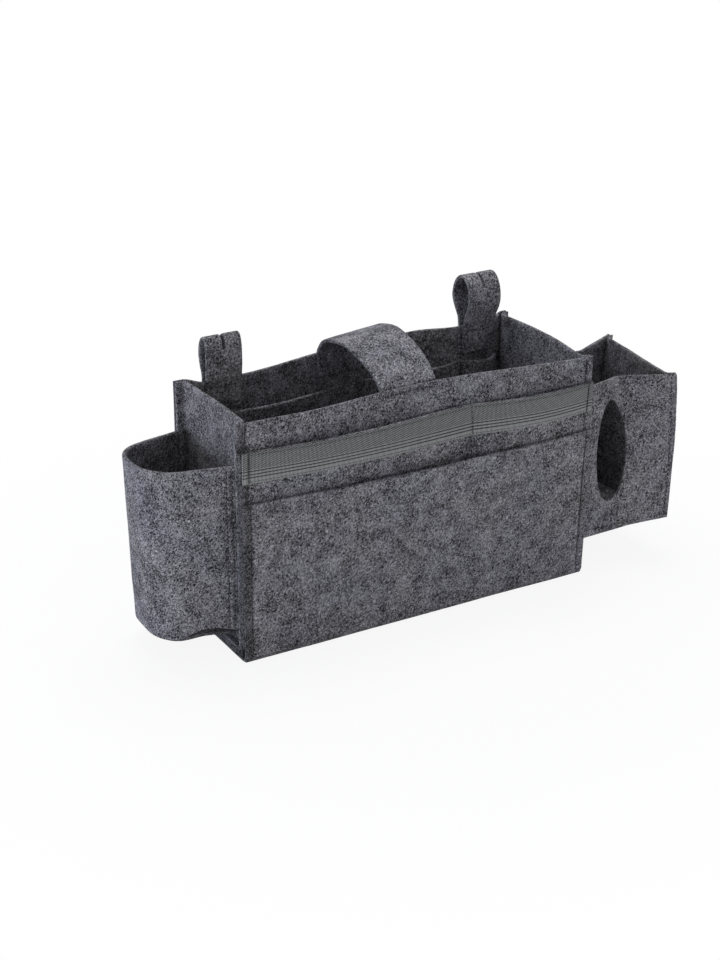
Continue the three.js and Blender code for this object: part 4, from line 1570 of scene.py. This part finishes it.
@dataclass
class BottlePocket:
    """The round pocket on the left end: a band of felt and its floor."""

    shop: Workshop
    reach_rim: float = 63.5
    reach_foot: float = 57.5
    front_rim: float = 165
    back_rim: float = 160
    floor: float = 19
    front_lean: float = 16.5
    back_in: float = 18.5
    back_reach_less: float = 2
    front_round: float = 33
    back_round: float = 27
    round_parts: int = 9
    seam_hold: float = 4
    seam_round: float = 2
    band_steps: Span = (3.2, 4.0)
    band_height: float = 145
    rows_from_bin: Span = (1.5, 6.0)
    row_foot: float = 24
    row_tops: Span = (163, 158)
    foot_tuck: float = 2.4
    front_curl: float = 5
    curl_more: float = 3.8
    curl_rise: Span = (0.02, 0.12)
    curl_end: Span = (0.16, 0.31)
    back_curl: float = 1.2
    back_curl_rise: Span = (0.72, 0.9)
    floor_step: float = 3.0
    floor_wall_gap: float = 0.6
    floor_centre_share: float = 0.45
    floor_edge_in: float = 0.2
    floor_curl: float = 0.5
    floor_curl_power: int = 6
    floor_wall_parts: int = 24
    floor_rings: tuple[float, ...] = (0.02, 0.2, 0.4, 0.6, 0.8, 0.92, 0.975, 0.99, 1.0)
    floor_wave: float = 0.4
    # Painted shade over the whole floor, for the shadow it lies in under the band
    floor_shade: float = 0.9

    def path(self, level: float) -> list[Vector]:
        """Return the plan path of the band at a level from foot to rim."""
        z = mix(self.floor, self.front_rim, level)
        front = FORM.front_flange(False, 0, z) + LAYER
        back = FORM.back_flange(False, 0, z) - LAYER
        hold = self.seam_hold
        reach = mix(self.reach_foot, self.reach_rim, level)
        corners = [
            (hold, FORM.front_flange(False, hold, z) + LAYER, 0),
            (0, front, self.seam_round),
            (-reach, front + self.front_lean, self.front_round),
            (-reach + self.back_reach_less, back - self.back_in, self.back_round),
            (0, back, self.seam_round),
            (hold, FORM.back_flange(False, hold, z) - LAYER, 0),
        ]
        return rounded(corners, self.round_parts)

    def foot_lift(self, part: float) -> float:
        """Return how far the band's foot curls up at a share of its length."""
        curl = self.front_curl + self.curl_more * smooth(part, *self.curl_rise)
        return curl * (1 - smooth(part, *self.curl_end))

    def height(self, level: float, part: float) -> float:
        """Return the band's height at a level and a share of its length."""
        lift = self.foot_lift(part) + self.back_curl * smooth(part, *self.back_curl_rise)
        foot = self.floor + LAYER - self.foot_tuck + lift
        return mix(foot, mix(self.front_rim, self.back_rim, part), level)

    def sew(self) -> None:
        """Add the rows beside both seams."""
        walls = tuple(zip(("front", "back"), (-1, 1), self.row_tops, (FORWARD, BACKWARD)))
        for name, x in zip(("near", "far"), self.rows_from_bin):
            for wall, side, top, facing in walls:
                path = [self.on_band(-x, z, side) for z in stops(self.row_foot, top, ROW_PARTS)]
                self.shop.sewing.add(f"bottle_{wall}_{name}", path, facing)

    def on_band(self, x: float, z: float, side: int) -> Vector:
        """Return the band's outer face in front (-1) or behind (1) where it reaches x."""
        path = self.path(share(z, self.floor, self.front_rim))[::-side]
        for before, after in zip(path, path[1:]):
            if after.x <= x <= before.x and after.x < before.x:
                spot = before.lerp(after, (before.x - x) / (before.x - after.x))
                return Vector((x, spot.y + side * HALF, z))
        return Vector((x, path[0].y + side * HALF, z))

    def build(self) -> None:
        """Make the band and the floor."""
        across, up = self.band_steps
        length = length_of(self.path(0.5))
        lines = [self.seam_hold + line for line in self.rows_from_bin]
        lines += [length - line for line in lines]
        parts = edge_shares(length, across, lines)
        rows = plan_rows(self.path, edge_shares(self.band_height, up), parts, self.height)
        self.shop.lay("bottle_band_felt", FeltLayer(rows), ["bottle_pocket_band"])
        self.base()

    def base(self) -> None:
        """Make the floor, a sheet whose cut edge shows under the band."""
        foot = self.path(0.0)
        shares = edge_shares(length_of(foot), self.floor_step)
        wall = FORM.flange_width - LAYER_GAP - self.floor_wall_gap
        centre = Vector((-self.reach_foot * self.floor_centre_share, FORM.depth / 2, 0))
        ring = []
        for point, part in zip(along(foot, shares), shares):
            away = (point - centre).normalized()
            curl = Vector((0, 0, self.floor_curl * self.foot_lift(part)))
            ring.append(point + away * (HALF - self.floor_edge_in) + curl)
        last, first = ring[-1].y, ring[0].y
        closing = stops(0, 1, self.floor_wall_parts)
        ring += [Vector((wall, mix(last, first, part), 0)) for part in closing]
        z = self.floor + HALF
        rows = []
        for part in self.floor_rings:
            lifted = part**self.floor_curl_power
            flat = [(mix(centre.x, p.x, part), mix(centre.y, p.y, part)) for p in ring]
            rows.append([Vector((*spot, z + p.z * lifted)) for spot, p in zip(flat, ring)])
        # The floor gets this painted shade all over
        painted_shade = self.floor_shade
        layer = FeltLayer(rows, ring=True, wave=self.floor_wave, least_shade=painted_shade)
        self.shop.lay("bottle_floor_felt", layer, ["bottle_pocket_base"])


@dataclass
class TissuePocket:
    """The creased pocket on the right end, with an oval hole in its front."""

    shop: Workshop
    floor: float = 30
    rim: float = 168.5
    foot_sag: float = 4.5
    sag_share: float = 0.6
    reach_front: float = 90
    reach_back: float = 106.5
    reach_foot: float = 98
    end_bulge: float = 2.5
    front_setback: float = 6
    front_flare: float = 7
    back_setback: float = 12
    back_flare: float = 3
    front_crease: float = 17.5
    back_crease: float = 31
    crease_round: float = 9
    crease_parts: int = 8
    crease_power: float = 1.6
    crease_least: float = 0.02
    crease_foot_share: float = 0.36
    crease_rim_share: float = 0.5
    seam_hold: float = 4
    seam_round: float = 2
    slot_width: float = 32
    slot_height: float = 92
    slot_from_seam: float = 34.5
    slot_centre: float = 104
    row_from_edge: float = 5
    row_lift: float = 4
    foot_row_reach: float = 92
    turns: int = 200
    rings: int = 30
    ring_steps: tuple[float, ...] = (0.4, 1.1)
    wall_steps: Span = (3.0, 3.5)
    end_steps: Span = (3.2, 4.0)
    end_parts: int = 16
    floor_step: float = 4.0
    floor_wall_gap: float = 0.5
    floor_wave: float = 0.4
    end_tuck: float = 2.4
    side_tuck: float = 0.8

    def level(self, z: float) -> float:
        """Return the level at a height."""
        return share(z, self.floor, self.rim)

    def sagged(self, z: float, part: float) -> float:
        """Return a height of a creased wall at a share of its plan, its foot sagging."""
        sag = self.foot_sag * (1 - share(part, 0, self.sag_share))
        return z - sag * (1 - self.level(z))

    def corner(self, level: float, back: bool) -> Span:
        """Return the free corner of the front or back wall at a level."""
        if back:
            x = FORM.width + mix(self.reach_foot, self.reach_back, level)
            return x, FORM.depth - self.back_setback + self.back_flare * level
        x = FORM.width + mix(self.reach_foot, self.reach_front, level)
        x += self.end_bulge * math.sin(math.pi * level)
        return x, self.front_setback - self.front_flare * level

    def path(self, level: float, back: bool) -> list[Vector]:
        """Return the plan of the front or back wall at a level, from the bin outwards."""
        flange = FORM.back_flange if back else FORM.front_flange
        out, depth = (-LAYER, -self.back_crease) if back else (LAYER, self.front_crease)
        z = mix(self.floor, self.rim, level)
        held, seam = (flange(True, inward, z) + out for inward in (self.seam_hold, 0))
        x, y = self.corner(level, back)
        part = mix(self.crease_foot_share, self.crease_rim_share, level)
        crease = depth * max(level, self.crease_least) ** self.crease_power
        corners = [
            (FORM.width - self.seam_hold, held, 0),
            (FORM.width, seam, self.seam_round),
            (mix(FORM.width, x, part), mix(seam, y, part) + crease, self.crease_round),
            (x, y, 0),
        ]
        return rounded(corners, self.crease_parts)

    def spot(self, distance: float, z: float) -> Vector:
        """Return the front wall's middle at a distance along its plan and a height."""
        path = self.path(self.level(z), False)
        point = along(path, [distance / length_of(path)])[0]
        return Vector((point.x, point.y, z))

    def end_spot(self, inward: float, z: float, back: bool) -> Vector:
        """Return the outer face of a wall at a distance from its free edge."""
        path = self.path(self.level(z), back)
        point = along(path, [1 - inward / length_of(path)])[0]
        return Vector((point.x, point.y + (HALF if back else -HALF), z))

    def sew(self) -> None:
        """Add the rows along the free edges and the foot."""
        inward, low = self.row_from_edge, self.floor + self.row_lift
        zs = stops(low, self.rim, ROW_PARTS)
        reaches = stops(inward, self.foot_row_reach, ROW_PARTS)
        for name, back, facing in (("front", False, FORWARD), ("back", True, BACKWARD)):
            edge = [self.end_spot(inward, z, back) for z in zs]
            foot = [self.end_spot(reach, low, back) for reach in reaches]
            self.shop.sewing.add(f"tissue_{name}_edge", edge, facing)
            self.shop.sewing.add(f"tissue_{name}_foot", foot, facing)

    def ring_share(self, ring: int, gap: float) -> float:
        """Return a ring's share of a gap from the slot to the wall's edge."""
        from_end = min(ring, self.rings - ring)
        if not 1 <= from_end <= len(self.ring_steps):
            return ring / self.rings
        near = self.ring_steps[from_end - 1] / gap
        return near if ring == from_end else 1 - near

    def slotted(self) -> FeltLayer:
        """Return the front wall as rings of points from the slot out to its edges."""
        length = length_of(self.path(0.5, False))
        centre = Vector((self.slot_from_seam + self.seam_hold, self.slot_centre, 0))
        edges = ((0.0, length), (self.floor, self.rim))
        angles = [2 * math.pi * i / self.turns for i in range(self.turns)]
        ways = [Vector((math.cos(angle), math.sin(angle), 0)) for angle in angles]
        for x in edges[0]:
            for z in edges[1]:
                toward = (Vector((x, z, 0)) - centre).normalized()
                dots = [way.dot(toward) for way in ways]
                ways[dots.index(max(dots))] = toward
        rays = []
        for way in ways:
            slot = math.hypot(way.x / (self.slot_width / 2), way.y / (self.slot_height / 2))
            reach = min(
                (edges[axis][way[axis] > 0] - centre[axis]) / way[axis]
                for axis in (0, 1)
                if abs(way[axis]) > TINY
            )
            rays.append((centre + way / slot, centre + way * reach))
        rows = []
        for ring in range(self.rings + 1):
            row = []
            for near, far in rays:
                flat = near.lerp(far, self.ring_share(ring, (far - near).length))
                spot = self.spot(flat.x, flat.y)
                spot.z = self.sagged(spot.z, flat.x / length)
                row.append(spot)
            rows.append(row)
        return FeltLayer(rows, ring=True)

    def back_wall(self) -> FeltLayer:
        """Return the plain lattice of the back wall."""
        across, up = self.wall_steps
        length = length_of(self.path(0.5, True))
        parts = edge_shares(length, across, [length - self.row_from_edge])
        zs = close_stops(self.floor, self.rim, up, [self.floor + self.row_lift])
        return FeltLayer(plan_rows(self.back_path, zs, parts, self.sagged))

    def back_path(self, z: float) -> list[Vector]:
        """Return the plan of the back wall at a height."""
        return self.path(self.level(z), True)

    def end_path(self, z: float) -> list[Vector]:
        """Return the plan of the end wall at a height, with its turned-in flanges."""
        ends = []
        for back, side in ((False, 1), (True, -1)):
            path = self.path(self.level(z), back)
            last = (path[-1] - path[-2]).normalized()
            end = path[-1] + Vector((-last.y, last.x, 0)) * side * LAYER
            ends.append((end, end - last * (FORM.flange_width + HALF)))
        (front, front_turn), (back, back_turn) = ends
        bend = FORM.flange_bend + HALF
        middle = [front_turn.lerp(back_turn, s) for s in stops(0, 1, self.end_parts)[2:-2]]
        points = [(front, 0), (front_turn, bend), *((p, 0) for p in middle)]
        points += [(back_turn, bend), (back, 0)]
        return rounded([(p.x, p.y, radius) for p, radius in points])

    def end_wall(self) -> FeltLayer:
        """Return the end wall."""
        across, up = self.end_steps
        parts = edge_shares(length_of(self.end_path(mix(self.floor, self.rim, 0.5))), across)
        zs = close_stops(self.floor, self.rim, up)
        return FeltLayer(plan_rows(self.end_path, zs, parts))

    def base(self) -> FeltLayer:
        """Return the floor, tucked into the walls that it is sewn to."""
        clear = HALF + LAYER_GAP
        wall = FORM.width - FORM.flange_width + LAYER_GAP + self.floor_wall_gap
        edge = min(p.x for p in self.end_path(self.floor)[2:-2]) - clear + self.end_tuck
        z = self.floor + HALF
        front_y = FORM.front_flange(True, 0, self.floor) + LAYER
        back_y = FORM.back_flange(True, 0, self.floor) - LAYER
        front_x, front_end = self.corner(0, False)
        back_end = self.corner(0, True)[1]
        rows = []
        for x in close_stops(wall, edge, self.floor_step):
            part = share(x, FORM.width, front_x)
            low = mix(front_y, front_end, part) + clear - self.side_tuck
            high = mix(back_y, back_end, part) - clear + self.side_tuck
            rows.append([Vector((x, y, z)) for y in close_stops(low, high, self.floor_step)])
        shares = stops(0, 1, max(len(row) for row in rows) - 1)
        return FeltLayer([along(row, shares) for row in rows], wave=self.floor_wave)

    def build(self) -> None:
        """Make the pocket's four sheets."""
        lay = self.shop.lay
        lay("tissue_front_felt", self.slotted(), ["tissue_pocket_front"])
        lay("tissue_back_felt", self.back_wall(), ["tissue_pocket_back"])
        lay("tissue_end_felt", self.end_wall(), ["tissue_pocket_side"])
        lay("tissue_floor_felt", self.base(), ["tissue_pocket_base"])


@dataclass
class ThreadWork:
    """The sewing thread itself, laid over the finished felt."""

    shop: Workshop
    sides: int = 6
    rings: int = 5
    rise: float = 0.75
    dip: float = 2.1
    taper: float = 0.35
    flatness: float = 1.15
    look_from: float = 5
    look_over: float = 9

    def surface(self) -> BVHTree:
        """Return the felt's surface in metres for laying the thread on."""
        verts: list[Vector] = []
        faces: list[Face] = []
        for piece in self.shop.felt_pieces:
            start = len(verts)
            verts += [vert.co.copy() for vert in piece.data.vertices]
            faces += [tuple(start + i for i in face.vertices) for face in piece.data.polygons]
        return BVHTree.FromPolygons(verts, faces)

    def stitch(
        self, spine: Sequence[Vector], up: Vector, radius: float
    ) -> tuple[list[Vector], list[Face]]:
        """Make one stitch: a short tube that rises out of the felt and dips back in.

        Args:
            spine: Points on the felt in metres.
            up: Direction away from the felt.
            radius: Radius of the thread in metres.

        Returns:
            Its points and faces.
        """
        verts: list[Vector] = []
        faces: list[Face] = []
        sides, count = self.sides, len(spine)
        aside = (spine[-1] - spine[0]).normalized().cross(up).normalized()
        for i, point in enumerate(spine):
            from_middle = 2 * (i / (count - 1)) - 1
            rise = radius * (self.rise - self.dip * from_middle**4)
            slim = radius * (1 - self.taper * abs(from_middle) ** 3)
            for k in range(sides):
                angle = 2 * math.pi * k / sides
                offset = aside * math.cos(angle) * self.flatness + up * math.sin(angle)
                verts.append(point + up * rise + offset * slim)
        for start in range(0, (count - 1) * sides, sides):
            for k in range(sides):
                a, b = start + k, start + (k + 1) % sides
                faces.append((a, b, b + sides, a + sides))
        faces.append(tuple(range(sides))[::-1])
        faces.append(tuple((count - 1) * sides + k for k in range(sides)))
        return verts, faces

    def lay_row(self, row: StitchRow, surface: BVHTree) -> None:
        """Lay one row of stitches on the felt's surface."""
        kind, facing = row.kind, row.facing
        length = length_of(row.path)
        verts: list[Vector] = []
        faces: list[Face] = []
        for i in range(int((length + kind.pitch - kind.length) / kind.pitch)):
            ends = stops(0, 1, self.rings - 1)
            shares = [(i * kind.pitch + kind.length * s) / length for s in ends]
            spine = []
            for point in along(row.path, shares):
                origin = (point - ORIGIN + facing * self.look_from) * MM
                spine.append(surface.ray_cast(origin, -facing, self.look_over * MM)[0])
            if any(hit is None for hit in spine):
                continue
            more, added = self.stitch(spine, facing, kind.radius * MM)
            faces += [tuple(len(verts) + j for j in face) for face in added]
            verts += more
        if not verts:
            LOG.warning("row %s meets no felt", row.name)
            return
        piece = new_mesh(f"stitches_{row.name}", [v / MM + ORIGIN for v in verts], faces)
        piece.data.materials.append(self.shop.finishes.threads[kind.thread])
        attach(piece, BODY)

    def build(self) -> None:
        """Lay all rows."""
        surface = self.surface()
        for row in self.shop.sewing.rows:
            self.lay_row(row, surface)
        LOG.info("%d rows of stitches", len(self.shop.sewing.rows))


# Stage
@dataclass(frozen=True)
class Lamp:
    """A soft lamp that looks at the caddy, in metres and watts."""

    name: str
    place: Triple
    size: Span
    power: float
    colour: Colour
    aim: Triple = (0.0, 0.0, 0.1)

    def hang(self) -> None:
        """Hang the lamp."""
        data = bpy.data.lights.new(self.name, "AREA")
        data.shape = "RECTANGLE"
        data.size, data.size_y = self.size
        data.energy = self.power
        data.color = self.colour
        lamp = put(self.name, data)
        lamp.location = self.place
        way = Vector(self.aim) - Vector(self.place)
        lamp.rotation_euler = way.to_track_quat("-Z", "Y").to_euler()


LAMPS = (
    Lamp("front_low", (0.3, -2.4, 0.25), (1.8, 0.4), 8, (1.0, 0.99, 0.98)),
    Lamp("left_low", (-2.4, 0.15, 0.35), (1.4, 0.5), 24, (0.8, 0.86, 1.0)),
    Lamp("top_back", (0.25, 0.65, 2.25), (1.6, 1.2), 35, (0.98, 0.98, 1.0)),
)


@dataclass(frozen=True)
class Stage:
    """The pale floor, the soft lights, the white surroundings and the camera."""

    camera_place: Triple = (-0.7179, -1.1716, 0.6887)
    yaw: float = 30.62
    pitch: float = 23.18
    roll: float = 0.263
    lens: float = 67.02
    sensor: float = 36
    floor_half: float = 6.0
    floor_height: float = -0.0004
    floor_colour: Colour = (0.82, 0.82, 0.82)
    floor_roughness: float = 0.9
    white: Colour = (1, 1, 1)
    white_near: float = 0.9
    white_from: Span = (0.22, 0.55)
    sky: Colour = (0.94, 0.96, 1.0)
    sky_strength: float = 0.45

    def floor(self) -> None:
        """Make the floor, white to the camera apart from the caddy's shadow."""
        mesh = bpy.data.meshes.new("floor")
        half = self.floor_half
        corners = [(-half, -half, 0), (half, -half, 0), (half, half, 0), (-half, half, 0)]
        mesh.from_pydata(corners, [], [(0, 1, 2, 3)])
        floor = put("floor", mesh)
        floor.location.z = self.floor_height
        material, board, shader = new_material("pale_floor")
        look = {"Base Color": opaque(self.floor_colour), "Roughness": self.floor_roughness}
        board.feed(shader, look)
        glow = board.add("Emission", {"Color": opaque(self.white), "Strength": 1.0})
        away = board.add("VectorMath", {0: board.place()}, operation="LENGTH").outputs["Value"]
        more = board.times(board.ramp(away, *self.white_from), 1 - self.white_near)
        part = board.times(board.seen(), board.plus(self.white_near, more))
        both = board.add("MixShader", {0: part, 1: shader.outputs[0], 2: glow.outputs[0]})
        board.feed(board.tree.nodes["Material Output"], {"Surface": both.outputs[0]})
        floor.data.materials.append(material)

    def surroundings(self) -> None:
        """Light the caddy from all round and show white behind it."""
        world = bpy.data.worlds.new("studio")
        bpy.context.scene.world = world
        world.use_nodes = True
        board = NodeBoard(world.node_tree)
        sky = {"Color": opaque(self.sky), "Strength": self.sky_strength}
        soft = board.feed(board.tree.nodes["Background"], sky)
        white = board.add("Background", {"Color": opaque(self.white), "Strength": 1.0})
        values = {0: board.seen(), 1: soft.outputs[0], 2: white.outputs[0]}
        both = board.add("MixShader", values)
        board.feed(board.tree.nodes["World Output"], {"Surface": both.outputs[0]})

    def camera(self) -> None:
        """Set the camera where the photograph was taken from."""
        yaw, pitch, roll = (math.radians(v) for v in (self.yaw, self.pitch, self.roll))
        level = math.cos(pitch)
        forward = Vector((math.sin(yaw) * level, math.cos(yaw) * level, -math.sin(pitch)))
        right = Vector((math.cos(yaw), -math.sin(yaw), 0))
        up = right.cross(forward)
        turned_right = right * math.cos(roll) + up * math.sin(roll)
        turned_up = up * math.cos(roll) - right * math.sin(roll)
        data = bpy.data.cameras.new("photo_camera")
        data.lens = self.lens
        data.sensor_width = self.sensor
        data.sensor_fit = "AUTO"
        camera = put("photo_camera", data)
        axes = Matrix((turned_right, turned_up, -forward)).transposed()
        camera.matrix_world = Matrix.Translation(self.camera_place) @ axes.to_4x4()
        bpy.context.scene.camera = camera
        bpy.context.scene.view_settings.view_transform = "Standard"

    def build(self) -> None:
        """Make the stage."""
        self.floor()
        self.surroundings()
        for lamp in LAMPS:
            lamp.hang()
        self.camera()


def main() -> None:
    """Build the caddy's looks in order."""
    logging.basicConfig(level=logging.INFO, format="%(name)s: %(message)s")
    Stage().build()
    shop = Workshop(Sewing(), Finishes.make())
    loops = [HangingLoop(shop, side, form) for side, form in zip(SIDES, FORM.loops)]
    parts = [
        Bin(shop), FrontPockets(shop), InnerPocket(shop), Strap(shop),
        *loops, BottlePocket(shop), TissuePocket(shop),
    ]
    for part in parts:
        part.sew()
    for part in parts:
        part.build()
    ThreadWork(shop).build()


if __name__ == "__main__":
    main()
